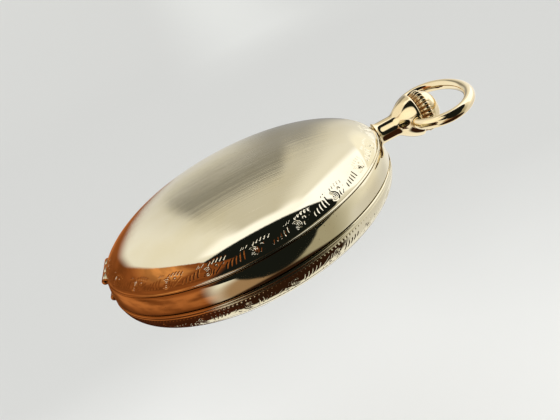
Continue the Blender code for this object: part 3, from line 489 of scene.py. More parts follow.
CASE_GOLD = gold("case_gold_polished", (0.80, 0.72, 0.50), (0.77, 0.68, 0.45))
COVER_GOLD = gold("cover_gold_turned", (0.80, 0.72, 0.51), (0.78, 0.69, 0.46), 0.035, field=21.0)
BAND_GOLD = gold("band_gold_worn", (0.80, 0.72, 0.50), (0.76, 0.66, 0.43), wear=0.4)
YELLOW_GOLD = gold("pendant_gold", (0.93, 0.78, 0.50), (0.90, 0.72, 0.42), 0.06)
CROWN_GOLD = gold("crown_gold", (0.93, 0.78, 0.50), (0.90, 0.72, 0.42), 0.06, grooves=3.42)
INNER_GOLD = gold("inner_gold", (0.84, 0.68, 0.38), (0.80, 0.62, 0.32), 0.14)
NICKEL = worked_metal("nickel_striped", (0.72, 0.71, 0.68), (0.62, 0.61, 0.58), 0.24, "stripes")
PLATE_GILT = worked_metal("gilt_spotted", (0.80, 0.62, 0.30), (0.74, 0.55, 0.25), 0.30, "spots")
WHEEL_GILT = worked_metal("gilt_grained", (0.82, 0.64, 0.32), (0.76, 0.57, 0.26), 0.26, "rings")
STEEL = worked_metal("steel_grained", (0.58, 0.58, 0.58), (0.48, 0.48, 0.49), 0.22, "straight")
STEEL_SUNRAY = worked_metal("steel_ringed", (0.64, 0.64, 0.64), (0.52, 0.52, 0.53), 0.20, "rings")
BLUED = worked_metal("steel_blued", (0.035, 0.075, 0.30), (0.05, 0.04, 0.20), 0.18, "straight", 0.0008)
DIAL_WHITE = enamel("dial_enamel", (0.88, 0.87, 0.83), (0.84, 0.82, 0.77))
DIAL_BLACK = enamel("dial_print", (0.012, 0.012, 0.014), (0.02, 0.018, 0.018), 0.3)
GLASS = clear_glass("crystal_glass")


# -------------------- engraving


def curve_points(start, bend, end, count):
    """Points on a curve from start to end that leans to bend."""
    t = np.linspace(0, 1, count)[:, None]
    start, bend, end = (np.asarray(p, float) for p in (start, bend, end))
    return (1 - t) ** 2 * start + 2 * t * (1 - t) * bend + t * t * end


def comma(foot, lean, length, width):
    """A tapered cut that rises from foot and curls over. Each is (points, widths)."""
    s, t = foot
    widths = width * np.array([0.55, 0.95, 1.0, 0.85, 0.6, 0.2])
    bend = (s + lean * 0.15, t + length * 0.65)
    return curve_points((s, t), bend, (s + lean, t + length), len(widths)), widths


def scroll(centre, radius, start, end, width):
    """An arc cut that thins towards its ends, with directions in degrees."""
    count = 9
    turn = np.radians(np.linspace(start, end, count))
    points = np.column_stack([centre[0] + radius * np.cos(turn), centre[1] + radius * np.sin(turn)])
    return points, width * (0.35 + 0.65 * np.sin(np.linspace(0.15, 0.95, count) * math.pi))


def hair(start, end, width):
    """A straight thin cut."""
    return np.array([start, end], float), np.array([width, width * 0.6])


def scrollwork():
    """One unit of the border: leaves that grow towards a rosette, curls and hair lines.
    s runs round the case, and t from the border's lower edge up."""
    cuts = []
    for k in range(5):
        cuts.append(comma((0.62 + 0.66 * k, 0.60 + 0.03 * k), 0.36, 0.72 + 0.14 * k, 0.13))
    for k in range(3):
        cuts.append(scroll((4.80, 1.22), 0.22 + 0.26 * k, -165 + 14 * k, 128, 0.10))
    for k in range(5):
        foot = (5.05 + 0.62 * k, 2.10 + 0.14 * math.sin(0.9 * k))
        cuts.append(comma(foot, 0.40, 0.46, 0.12))
    cuts.append(hair((6.15, 0.55), (7.60, 1.75), 0.05))
    cuts.append(comma((5.75, 0.55), 0.32, 0.62, 0.10))
    cuts.append(scroll((6.35, 1.62), 0.22, -60, 200, 0.08))
    for k in range(3):
        cuts.append(hair((3.1 + 0.4 * k, 2.25), (3.5 + 0.4 * k, 2.62), 0.045))
    return cuts


SCROLLWORK = scrollwork()


def cut_share(s, t):
    """How deep the scrollwork's cuts are at each point, from 0 to 1."""
    deepest = np.zeros(np.broadcast(s, t).shape)
    around = np.mod(s, UNIT)
    for points, widths in SCROLLWORK:
        for offset in (-UNIT, 0.0, UNIT):
            for a, b, wide, wider in zip(points[:-1], points[1:], widths[:-1], widths[1:]):
                along = b - a
                reach = ((around - offset - a[0]) * along[0] + (t - a[1]) * along[1]) / (along @ along)
                reach = np.clip(reach, 0, 1)
                gap = np.hypot(around - offset - a[0] - reach * along[0], t - a[1] - reach * along[1])
                width = wide + (wider - wide) * reach
                deepest = np.maximum(deepest, np.clip(1 - (gap / width) ** 2, 0, 1))
    return deepest


def groove(t, centre, half_width):
    """A ring line's depth, from 0 to 1."""
    return np.clip(1 - ((t - centre) / half_width) ** 2, 0, 1)


# -------------------- covers


def dome_curve(radius, height, shape):
    """Fine (radius, rise) points from the top of a dome to its rim."""
    share = np.sin(np.linspace(0, math.pi / 2, 900))
    rise = height * np.maximum(0, 1 - share ** shape[0]) ** (1 / shape[1])
    return np.column_stack([radius * share, rise])


def border_rings(curve, rim, sign, span, row, depth_at):
    """Fine rings for an engraved border. sign is 1 for the front cover and -1 for the
    rear one."""
    steps = np.hypot(*np.diff(curve, axis=0).T)
    reach = np.concatenate([[0], np.cumsum(steps)])
    reach = reach[-1] - reach
    rings = []
    for t in np.arange(span[1], span[0], -row):
        r = float(np.interp(t, reach[::-1], curve[::-1, 0]))
        z = float(np.interp(t, reach[::-1], curve[::-1, 1]))
        ahead = np.array([np.interp(t + 0.02, reach[::-1], curve[::-1, k]) for k in (0, 1)])
        slope = ahead - (r, z)
        normal = np.array([slope[1], -slope[0]]) / np.hypot(*slope)

        def relief(turn, t=t, normal=normal):
            depth = -CUT_DEPTH * depth_at(turn, t)
            return depth * normal[0], depth * normal[1] * sign

        rings.append((r, rim + sign * z, BORDER_COLUMNS, relief))
    return rings


def front_depth(turn, t):
    """The front border's cuts: scrollwork over a ring line."""
    s = (turn - UNIT_PHASE) * UNITS * UNIT / (2 * math.pi)
    return np.maximum(cut_share(s, t - 0.42), groove(t, 0.30, 0.07) * 0.9)


def rear_depth(turn, t):
    """The rear border's cuts: scrollwork between a row of pearls and a ring line."""
    s = turn * UNITS * UNIT / (2 * math.pi)
    aside = np.mod(s, PEARL_PITCH) - PEARL_PITCH / 2
    pearls = np.clip(1 - (np.hypot(aside, t - PEARL_PLACE) / PEARL_RADIUS) ** 2, 0, 1)
    lines = np.maximum(groove(t, 0.62, 0.06), groove(t, 3.62, 0.06))
    return np.maximum(np.maximum(cut_share(-s, t - 1.1), pearls * 0.9), lines)


def front_cover():
    """The front cover: an engine-turned dome, an engraved border and a beaded rim."""
    curve = dome_curve(CASE_RADIUS, FRONT_DOME, FRONT_SHAPE)
    border = border_rings(curve, FRONT_RIM, 1, FRONT_BORDER, FRONT_ROW, front_depth)
    inner_edge = border[0][0]
    field = [r for r in np.sin(np.linspace(0, 1.15, 40)) * CASE_RADIUS if r < inner_edge - 0.1]
    rings = [(r, FRONT_RIM + rise_at(curve, r), COLUMNS) for r in field]
    moves = [(0, 0.17), (0.045, 0.11), (0.04, 0.04), (-0.03, 0), (-1.0, 0), (-1.0, 0.7)]
    rim = offsets(CASE_RADIUS, FRONT_RIM, moves)
    inside = dome_curve(CASE_RADIUS - COVER_WALL, FRONT_DOME - COVER_WALL, FRONT_SHAPE)
    under = [(r, FRONT_RIM + rise_at(inside, r)) for r in np.linspace(CASE_RADIUS - 1.15, 0, 24)]
    shape = Shape().add(*turned(rings + border + rings_of(rim + under), closed=False))
    cover_knuckles(shape, FRONT_HINGE, KNUCKLE)
    shape.build("front_cover_engraved", COVER_GOLD, "front_cover", "front_cover", "case_gold")


def rise_at(curve, radius):
    """A dome's rise at a radius."""
    return float(np.interp(radius, curve[:, 0], curve[:, 1]))


def rear_cover():
    """The rear cover: a dome with a flat, an engraved border and a bead at its rim."""
    curve = dome_curve(REAR_RADIUS, REAR_RIM, REAR_SHAPE)
    border = border_rings(curve, REAR_RIM, -1, REAR_BORDER, REAR_ROW, rear_depth)
    inner_edge = border[0][0]
    field = [r for r in np.linspace(BACK_FLAT, REAR_RADIUS, 60) if r < inner_edge - 0.2]
    blend = [min(1.0, (r - BACK_FLAT) / 4.0) for r in field]
    rings = [(0.0, 0.0, COLUMNS), (BACK_FLAT * 0.5, 0.0, COLUMNS)]
    for r, share in zip(field, blend):
        depth = (REAR_RIM - rise_at(curve, r)) * share**2 * (3 - 2 * share)
        rings.append((r, depth, COLUMNS))
    moves = [
        (-0.05, -0.56), (0.02, -0.46), (0.06, -0.32), (0.04, -0.16), (-0.04, -0.05),
        (-0.18, 0), (-1.05, 0), (-1.05, -1.4),
    ]
    rim = offsets(REAR_RADIUS, REAR_RIM, moves)
    inside = dome_curve(REAR_RADIUS - COVER_WALL, REAR_RIM - COVER_WALL, REAR_SHAPE)
    under = [(r, REAR_RIM - rise_at(inside, r)) for r in np.linspace(REAR_RADIUS - 1.2, 0, 24)]
    verts, faces = turned(rings + border + rings_of(rim + under), closed=False)
    shape = Shape().add(verts, [face[::-1] for face in faces])
    cover_knuckles(shape, REAR_HINGE, KNUCKLE)
    shape.build("rear_cover_engraved", CASE_GOLD, "rear_cover", "rear_cover", "case_gold")


def dust_cover():
    """The thin inner cover over the movement."""
    radii = np.linspace(0, DUST_RADIUS, 28)
    outside = [(r, DUST_BASE + DUST_RISE * (r / DUST_RADIUS) ** 6) for r in radii]
    inside = [(r, z + DUST_WALL) for r, z in outside]
    verts, faces = turned(rings_of(inside + outside[::-1]), closed=False)
    shape = Shape().add(verts, faces)
    cover_knuckles(shape, DUST_HINGE, DUST_KNUCKLE)
    shape.build("dust_cover_polished", INNER_GOLD, "dust_cover", "dust_cover", "case_gold")


# -------------------- band, bezel and crystal


def band():
    """The centre band: slightly convex, with rolled edges and a shelf inside."""
    outer = [
        (24.55, 10.08), (25.95, 10.08), (26.14, 9.65), (26.27, 9.1), (26.36, 8.5),
        (26.41, 7.9), (26.43, 7.45), (26.42, 7.1), (26.3, 6.99), (25.8, 6.99),
        (24.95, 6.99), (24.95, 5.8), (21.85, 5.8), (21.85, 9.1), (24.55, 9.1),
    ]
    radii = [0.05, 0.09, 0.3, 0.3, 0.3, 0.3, 0.15, 0.08, 0.05, 0.05, 0.1, 0.1, 0.1, 0.1, 0.05]
    shape = Shape().add(*turned(rings_of(rounded(outer, radii))))
    hinges = ((FRONT_HINGE, KNUCKLE), (REAR_HINGE, KNUCKLE), (DUST_HINGE, DUST_KNUCKLE))
    for hinge, radius in hinges:
        knuckle(shape, -KNUCKLE_INNER, KNUCKLE_INNER, hinge, radius)
    shape.build("case_band_polished", BAND_GOLD, "case", "case_band", "case_gold")


def bezel():
    """The ring that holds the crystal."""
    profile = [
        (21.25, 11.95), (21.7, 12.0), (23.2, 11.6), (24.75, 10.7), (24.75, 10.2),
        (24.2, 10.2), (21.25, 10.3), (21.25, 11.0), (22.1, 11.05), (22.1, 11.6),
        (21.25, 11.65),
    ]
    radii = [0.1, 0.4, 0.5, 0.3, 0.1, 0.1, 0.1, 0.1, 0.05, 0.05, 0.05]
    shape = Shape().add(*turned(rings_of(rounded(profile, radii))))
    shape.build("bezel_ring", INNER_GOLD, "case", "bezel", "case_gold")


def crystal():
    """The thin domed glass, with a softened edge."""
    radii = np.linspace(0, CRYSTAL_RADIUS - 0.1, 20)
    top = [(r, CRYSTAL_TOP - CRYSTAL_TOP_FALL * (r / CRYSTAL_RADIUS) ** 2) for r in radii]
    under = [(r, CRYSTAL_UNDER - CRYSTAL_UNDER_FALL * (r / CRYSTAL_RADIUS) ** 2) for r in radii]
    edge = [(CRYSTAL_RADIUS - 0.03, 11.42), (CRYSTAL_RADIUS, 11.32), (CRYSTAL_RADIUS - 0.03, 11.24)]
    shape = Shape().add(*turned(rings_of(top + edge + under[::-1], 180), closed=False))
    shape.build("crystal_domed", GLASS, "case", "crystal", "glass")


# -------------------- pendant, crown and bow


def pendant():
    """The neck and the bell-shaped cup around the crown."""
    cup = [  # radius, distance from the rim
        (3.68, -0.04), (3.71, 0.02), (3.77, 0.02), (3.83, -0.06), (3.87, -0.20),
        (3.81, -0.55), (3.70, -0.95), (3.56, -1.35), (3.39, -1.75), (3.18, -2.15),
        (2.94, -2.55), (2.68, -2.93), (2.42, -3.28), (2.20, -3.58), (2.05, -3.85),
        (1.96, -4.1), (1.92, -4.4),
    ]
    neck = [
        (1.92, 27.4), (1.95, 27.0), (2.03, 26.7), (2.20, 26.42), (1.25, 26.3),
        (1.25, 24.75), (1.0, 24.75), (1.0, CUP_FLOOR), (3.1, CUP_FLOOR), (3.32, 32.6),
        (3.56, 33.1), (3.6, 33.5),
    ]
    outline = rings_of(offsets(0.0, CUP_RIM, cup) + neck, PENDANT_COLUMNS)
    shape = Shape().add(*pendant_shape(outline))
    socket = [(0, 0.42), (0.95, 0.42), (1.08, 0.36), (1.12, 0.22), (1.12, 0.0), (0, 0.0)]
    for side in (-1, 1):
        verts, faces = turned(rings_of(socket, 40), closed=False)
        turn = Matrix.Rotation(math.radians(90 * side), 4, "Y")
        shape.add(move(verts, turn, (side * SOCKET_START, BOW_PIVOT, PENDANT_Z)), faces)
    shape.build("pendant_polished", YELLOW_GOLD, "case", "pendant", "yellow_gold")


def crown():
    """The crown: a smooth dome over a skirt of rounded ribs. The skirt is drawn in below,
    so that it clears the cup when the crown is pushed."""
    columns = CROWN_RIBS * 16

    def ribs(height):
        def relief(turn):
            wave = np.abs(np.sin(turn * CROWN_RIBS / 2)) ** 0.55
            return height * (wave - 0.25), 0.0

        return relief

    rows = [  # radius, distance below the top, ribs' depth
        (0.0, 0, 0), (0.6, 0.03, 0), (1.2, 0.13, 0), (1.8, 0.31, 0), (2.35, 0.60, 0),
        (2.8, 0.96, 0), (3.1, 1.34, 0), (3.28, 1.72, 0), (3.36, SKIRT_DROP - 0.01, 0),
        (3.38, 2.12, 0.06), (3.44, 2.17, 0.26), (3.49, 2.26, 0.36), (3.50, 2.45, 0.40),
        (3.49, 3.0, 0.40), (3.36, 3.25, 0.28), (3.30, 3.5, 0.28), (3.24, 3.9, 0.28),
        (3.13, 4.1, 0.18), (3.0, 4.25, 0), (2.90, 4.5, 0),
        (2.80, CROWN_TOP - CROWN_BASE, 0), (0.0, CROWN_TOP - CROWN_BASE, 0),
    ]
    rings = [(r, CROWN_TOP - drop, columns, ribs(rib)) for r, drop, rib in rows]
    shape = Shape().add(*pendant_shape(rings, closed=False))
    shape.build("crown_ribbed", CROWN_GOLD, "crown", "crown", "yellow_gold")


def bow():
    """The bow: a swept loop, a little heavier at its ends, and flat-ended at the ball."""
    last = math.asin((BOW_PIVOT - BOW_CENTRE) / BOW_HALF_LENGTH)
    turn = np.linspace(last, math.pi - last, 110)
    away = BOW_CENTRE - BOW_PIVOT + BOW_HALF_LENGTH * np.sin(turn)
    path = np.column_stack([BOW_HALF_WIDTH * np.cos(turn), away])
    ends = [(4.15, 0.0), (4.6, -0.02), (5.05, -0.02)]
    path = np.vstack([ends, path[1:-1], [(-x, y) for x, y in ends[::-1]]])
    for _ in range(3):
        path[2:-2] = (path[1:-3] + 2 * path[2:-2] + path[3:-1]) / 4
    around = 2 * math.pi * np.arange(36) / 36
    rings = []
    for i, point in enumerate(path):
        ahead = path[min(i + 1, len(path) - 1)] - path[max(i - 1, 0)]
        side = np.array([ahead[1], -ahead[0]]) / np.hypot(*ahead)
        share = point[1] / (BOW_CENTRE - BOW_PIVOT + BOW_HALF_LENGTH)
        wide, deep = (end - loss * share for end, loss in (BOW_WIDE, BOW_DEEP))
        loop = [(*(point + side * wide * math.cos(a)), deep * math.sin(a)) for a in around]
        rings.append(loop)
    count = len(around)
    verts = [p for loop in rings for p in loop]
    faces = []
    for i in range(len(rings) - 1):
        for k in range(count):
            n = (k + 1) % count
            faces.append((i * count + k, i * count + n, (i + 1) * count + n, (i + 1) * count + k))
    faces.append(tuple(range(count))[::-1])
    faces.append(tuple((len(rings) - 1) * count + k for k in range(count)))
    tilt = Matrix.Rotation(BOW_TILT, 4, "X")
    shape = Shape().add(move(verts, tilt, (0, BOW_PIVOT, PENDANT_Z)), faces)
    shape.build("bow_swept", YELLOW_GOLD, "bow", "bow", "yellow_gold")


# -------------------- dial and hands


def oriented(outline):
    """The outline run counter-clockwise."""
    area = sum(a[0] * b[1] - b[0] * a[1] for a, b in zip(outline, outline[1:] + outline[:1]))
    return outline if area > 0 else outline[::-1]


class Layer(Shape):
    """Thin flat marks between two heights, placed round a centre."""

    def __init__(self, low, high, centre=(0.0, 0.0)):
        super().__init__()
        self.at(low, high, centre)

    def at(self, low, high, centre=(0.0, 0.0)):
        """Sets the heights and the centre for the marks that follow."""
        self.low, self.high, self.centre = low, high, centre

    def prism(self, outline):
        """Adds a flat outline, counter-clockwise, as a thin solid."""
        count = len(outline)
        verts = [(x, y, z) for z in (self.low, self.high) for x, y in outline]
        faces = [tuple(range(count))[::-1], tuple(range(count, 2 * count))]
        faces += [(i, (i + 1) % count, count + (i + 1) % count, count + i) for i in range(count)]
        self.add(verts, faces)

    def place(self, turn, across, outward):
        """The plan point for a mark: turn is its share of the dial from 12 o'clock, across
        runs clockwise and outward away from the centre."""
        heading = math.pi - 2 * math.pi * turn
        out = (math.cos(heading), math.sin(heading))
        side = (out[1], -out[0])
        return tuple(self.centre[k] + out[k] * outward + side[k] * across for k in (0, 1))

    def mark(self, turn, corners):
        """Adds a mark from its (across, outward) corners."""
        self.prism(oriented([self.place(turn, *corner) for corner in corners]))

    def tick(self, turn, width, inner, outer):
        """Adds a radial bar between two reaches."""
        half = width / 2
        self.mark(turn, [(-half, inner), (half, inner), (half, outer), (-half, outer)])

    def turn_profile(self, profile, columns):
        """Adds a ring turned round the centre."""
        verts, faces = turned(rings_of(profile, columns))
        self.add(move(verts, None, (*self.centre, 0)), faces)

    def ring(self, radius, width):
        """Adds a thin printed ring."""
        outer, inner = radius + width / 2, radius - width / 2
        corners = [(outer, self.high), (outer, self.low), (inner, self.low), (inner, self.high)]
        self.turn_profile(corners, DIAL_COLUMNS)


def stroke_corners(start, end, width):
    """The corners of a bar between two points."""
    (x0, y0), (x1, y1) = start, end
    length = math.hypot(x1 - x0, y1 - y0)
    nx, ny = -(y1 - y0) / length * width / 2, (x1 - x0) / length * width / 2
    return [(x0 + nx, y0 + ny), (x1 + nx, y1 + ny), (x1 - nx, y1 - ny), (x0 - nx, y0 - ny)]


THICK_STROKE, THIN_STROKE, SERIF, SERIF_REACH = 0.42, 0.13, 0.12, 0.34
LETTERS = {  # width, bars and serifs, with each point as (across, share of the height)
    "I": (0.62, [((0.31, 0), (0.31, 1), THICK_STROKE)], [(0.31, 0), (0.31, 1)]),
    "V": (
        1.75,
        [((0.3, 1), (0.875, 0), THICK_STROKE), ((1.5, 1), (0.875, 0), THIN_STROKE)],
        [(0.3, 1), (1.5, 1)],
    ),
    "X": (
        1.75,
        [((0.3, 1), (1.45, 0), THICK_STROKE), ((1.5, 1), (0.25, 0), THIN_STROKE)],
        [(0.3, 1), (1.5, 1), (0.25, 0), (1.45, 0)],
    ),
}


def letter_strokes(letter, left):
    """The bars of one Roman letter, with its serifs, from its left edge."""
    _, bars, serifs = LETTERS[letter]
    strokes = []
    for (x0, y0), (x1, y1), width in bars:
        start, end = (left + x0, y0 * NUMERAL_HEIGHT), (left + x1, y1 * NUMERAL_HEIGHT)
        strokes.append((start, end, width))
    for across, share in serifs:
        x, y = left + across, share * NUMERAL_HEIGHT
        strokes.append(((x - SERIF_REACH, y), (x + SERIF_REACH, y), SERIF))
    return strokes


def numerals(marks):
    """Adds the Roman hour numerals, which stand radially with their feet inwards."""
    words = ("XII", "I", "II", "III", "IIII", "V", None, "VII", "VIII", "IX", "X", "XI")
    for hour, word in enumerate(words):
        if not word:
            continue
        left = -sum(LETTERS[letter][0] for letter in word) / 2
        for letter in word:
            for stroke in letter_strokes(letter, left):
                corners = [(x, NUMERAL_FOOT + y) for x, y in stroke_corners(*stroke)]
                marks.mark(hour / 12, corners)
            left += LETTERS[letter][0]


def dial_marks():
    """The printed numerals, rings and divisions."""
    marks = Layer(DIAL_TOP - 0.01, DIAL_TOP + 0.02)
    numerals(marks)
    for radius in MINUTE_TRACK:
        marks.ring(radius, 0.07)
    for minute in range(60):
        marks.tick(minute / 60, 0.3 if minute % 5 == 0 else 0.1, *MINUTE_TRACK)
    marks.at(DIAL_TOP + 0.01, DIAL_TOP + 0.04, SECONDS_CENTRE)
    start, end = SECONDS_TRACK
    for radius in (end, start):
        marks.ring(radius, 0.05)
    for second in range(60):
        inner = TENS_START if second % 10 == 0 else start
        marks.tick(second / 60, 0.16 if second % 5 == 0 else 0.06, inner, end)
    marks.build("dial_print", DIAL_BLACK, "case", None, "enamel")


def dial():
    """The enamel dial, the raised edge and sunk floor of its seconds dial, and its print."""
    outer = offsets(DIAL_RADIUS, DIAL_TOP, [(-0.15, 0), (0, -0.1), (0, -DIAL_WALL)])
    outer = [(DIAL_HOLE, DIAL_TOP), *outer, (DIAL_HOLE, DIAL_TOP - DIAL_WALL)]
    shape = Shape().add(*turned(rings_of(outer, DIAL_COLUMNS)))
    shape.build("dial_enamelled", DIAL_WHITE, "case", "dial", "enamel")
    rim = offsets(SECONDS_RADIUS, DIAL_TOP, [(-0.05, 0.02), (0, 0.05), (0.12, 0.05), (0.16, 0)])
    rim = [(SECONDS_HOLE, DIAL_TOP + 0.02), *rim, (SECONDS_HOLE, DIAL_TOP - SECONDS_SINK)]
    seconds = Layer(DIAL_TOP - SECONDS_SINK, DIAL_TOP, SECONDS_CENTRE)
    seconds.turn_profile(rim, DIAL_COLUMNS)
    seconds.build("dial_seconds_ring", DIAL_WHITE, "case", None, "enamel")
    dial_marks()


def spade_tip(shape, turn, length, neck, spade):
    """Adds a spade of this size at a hand's neck: two lobes and a peak."""
    for side in (-1, 1):
        x, y = shape.place(turn, side * spade * 0.62, neck + spade * 0.55)
        reach = spade * 0.72
        angles = np.linspace(0, 2 * math.pi, 24, endpoint=False)
        shape.prism([(x + reach * math.cos(a), y + reach * math.sin(a)) for a in angles])
    shoulder, notch, waist, throat = (neck + spade * k for k in (0.75, 0.2, 1.9, 2.8))
    shape.mark(turn, [
        (-spade * 1.28, shoulder), (0, notch), (spade * 1.28, shoulder),
        (0.55 * spade, waist), (0.1, throat), (0.05, length), (-0.05, length),
        (-0.1, throat), (-0.55 * spade, waist),
    ])


def hand(name, body, centre, turn, length, spade, boss, low, high):
    """A spade hand, or a plain tapered one where spade is 0."""
    shape = Layer(low, high, centre)
    stem, tip = 0.34 * boss, 0.17
    neck = length * (0.62 if spade else 1.0)
    tail = boss * (1.2 if spade else 2.4)
    shape.mark(turn, [(-stem, 0), (stem, 0), (tip, neck), (-tip, neck)])
    shape.mark(turn, [(-stem, 0), (-stem * 0.8, -tail), (stem * 0.8, -tail), (stem, 0)])
    if spade:
        spade_tip(shape, turn, length, neck, spade)
    top = high + 0.06
    rim = [(boss - 0.08, top), (boss, high), (boss, low), (boss * 0.5, low), (boss * 0.5, top)]
    shape.turn_profile(rim, 48)
    shape.build(name + "_blued", BLUED, body, name, "blued_steel")


def hands():
    """The three hands at the time shown."""
    minute_turn = (MINUTES + SECONDS / 60) / 60
    hour_turn = (HOURS + minute_turn) / 12
    hand("hour_hand", "hour_wheel", (0, 0), hour_turn, 11.2, 1.15, 1.7, 10.95, 11.1)
    hand("minute_hand", "centre_wheel", (0, 0), minute_turn, 17.6, 0.95, 1.3, 11.4, 11.55)
    hand("seconds_hand", "fourth_wheel", SECONDS_CENTRE, SECONDS / 60, 4.2, 0, 0.55, 10.8, 10.88)


# -------------------- carried-over CAD nodes

NODE_SURFACES = {
    NICKEL: "barrel_bridge train_bridge balance_cock pallet_cock",
    PLATE_GILT: "main_plate",
    WHEEL_GILT: "mainspring_barrel barrel_cover centre_wheel third_wheel fourth_wheel "
    "balance_wheel minute_wheel hour_wheel",
    STEEL_SUNRAY: "ratchet_wheel crown_wheel contrate_wheel click regulator",
    STEEL: "front_hinge_pin rear_hinge_pin dust_hinge_pin pendant_sleeve winding_stem "
    "winding_pinion lift_spring lock_spring setting_lever setting_wheel barrel_arbor "
    "cannon_pinion escape_wheel pallet_fork",
    BLUED: "mainspring hairspring click_spring case_screw_1 case_screw_2 balance_cock_screw "
    "barrel_bridge_screw_1 barrel_bridge_screw_2 train_bridge_screw_1 train_bridge_screw_2",
}


def dress_nodes():
    """Gives each carried-over CAD node its worked metal."""
    for surface, names in NODE_SURFACES.items():
        for name in names.split():
            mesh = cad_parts[name].data
            mesh.materials.clear()
            mesh.materials.append(surface)


# -------------------- surroundings


# What the polished case reflects, as cards painted on the world's light. Azimuth runs from
# the far side (-X) towards +Y and elevation from level, each as (low, high, softness) in
# degrees. A later card covers an earlier one, and the rooms cover them all.
WHITE_ROOM = (0.98, 0.98, 0.97)
PALE_CARDS = (
    ((112, 300, 22), (-60, 42, 10), (0.44, 0.42, 0.34)),
    ((48, 112, 8), (-60, -13, 7), (0.78, 0.78, 0.80)),
    ((38, 92, 4), (6, 90, 6), (1.45, 1.50, 1.70)),
    ((-50, 48, 5), (62, 90, 4), (1.35, 1.38, 1.50)),
    ((-16, 22, 9), (-40, 66, 3), (0.70, 0.685, 0.64)),
    ((-12.5, 9, 1.5), (16, 35, 2.5), (0.29, 0.285, 0.265)),
    ((2, 15, 4), (-40, 22, 2), (0.36, 0.355, 0.345)),
)
MATTE_LIGHT = (1.06, 1.06, 1.04)
DARK = (0.010, 0.012, 0.011)
DEEP_BROWN, PALE_BROWN = (0.030, 0.012, 0.006), (0.40, 0.26, 0.16)
# Each is a centre's azimuth from +X and its elevation, its inner and outer reach, and a colour
ROOMS = (
    ((-14, -24), (18, 34), PALE_BROWN),
    ((5, -60), (34, 42), DEEP_BROWN),
    ((-2, 52), (51.5, 53.5), DARK),
    ((6, 10), (31, 34), DARK),
)
# The white card that the cup reflects, as seen from the cup
CUP_PLACE = (3.0, 33.0, 10.0)
CUP_CARD_DIRECTION, CUP_CARD_DISTANCE = (-48, 38), 8.5
CUP_CARD_HALF_SIZE, CUP_CARD_SOFTNESS = (8.0, 6.0), 2.0
CUP_CARD_COLOUR = (1.14, 1.13, 1.08)
# The warm card's reach from the centre, and its top edge as headings and heights
WARM_CARD_REACH, WARM_CARD_FOOT, WARM_CARD_SOFTNESS = 39.0, -45.0, 8.0
WARM_CARD_HEADINGS = (-168, -160, -140, -118, -108, -100, -93, -84, -22)
WARM_CARD_TOPS = (8, 15, 21, 25, 31, 46, 66, 88, 88)
UMBER, CHESTNUT, COPPER, AMBER = (
    (0.05, 0.014, 0.006), (0.24, 0.070, 0.018), (0.44, 0.15, 0.045), (0.74, 0.31, 0.10),
)


def direction_vector(azimuth, elevation):
    """The unit vector towards a direction, in degrees from +X and from level."""
    a, e = math.radians(azimuth), math.radians(elevation)
    return (math.cos(e) * math.cos(a), math.cos(e) * math.sin(a), math.sin(e))


def within(nodes, value, span):
    """1 inside a span and 0 outside it, with soft edges."""
    low, high, soft = span
    rise = nodes.ramp(value, low - soft, low + soft)
    fall = nodes.ramp(value, high + soft, high - soft)
    return nodes.times(rise, fall)


def studio():
    """A pale studio with reflector cards and darker rooms all round. Matte surfaces get
    plain white light."""
    world = bpy.data.worlds.new("studio")
    bpy.context.scene.world = world
    world.use_nodes = True
    tree = world.node_tree
    tree.nodes.clear()
    nodes = Nodes(tree)
    way = nodes.add("ShaderNodeTexCoord").outputs["Generated"]
    across, along, up = nodes.split(way)
    azimuth = nodes.maths("ARCTAN2", along, nodes.times(across, -1.0))
    azimuth = nodes.maths("DEGREES", azimuth)
    elevation = nodes.maths("DEGREES", nodes.maths("ARCSINE", up))
    colour = WHITE_ROOM
    for around, height, paint in PALE_CARDS:
        card = nodes.times(within(nodes, azimuth, around), within(nodes, elevation, height))
        colour = nodes.mix(card, colour, paint)
    for centre, reaches, paint in ROOMS:
        values = {0: way, 1: direction_vector(*centre)}
        towards = nodes.add("ShaderNodeVectorMath", values, operation="DOT_PRODUCT")
        inner, outer = (math.cos(math.radians(reach)) for reach in reaches)
        share = nodes.ramp(towards.outputs["Value"], outer, inner)
        colour = nodes.mix(share, colour, paint)
    rays = nodes.add("ShaderNodeLightPath")
    colour = nodes.mix(rays.outputs["Is Diffuse Ray"], colour, MATTE_LIGHT)
    background = nodes.add("ShaderNodeBackground", {"Color": colour, "Strength": 1.0})
    output = nodes.add("ShaderNodeOutputWorld")
    tree.links.new(background.outputs[0], output.inputs["Surface"])


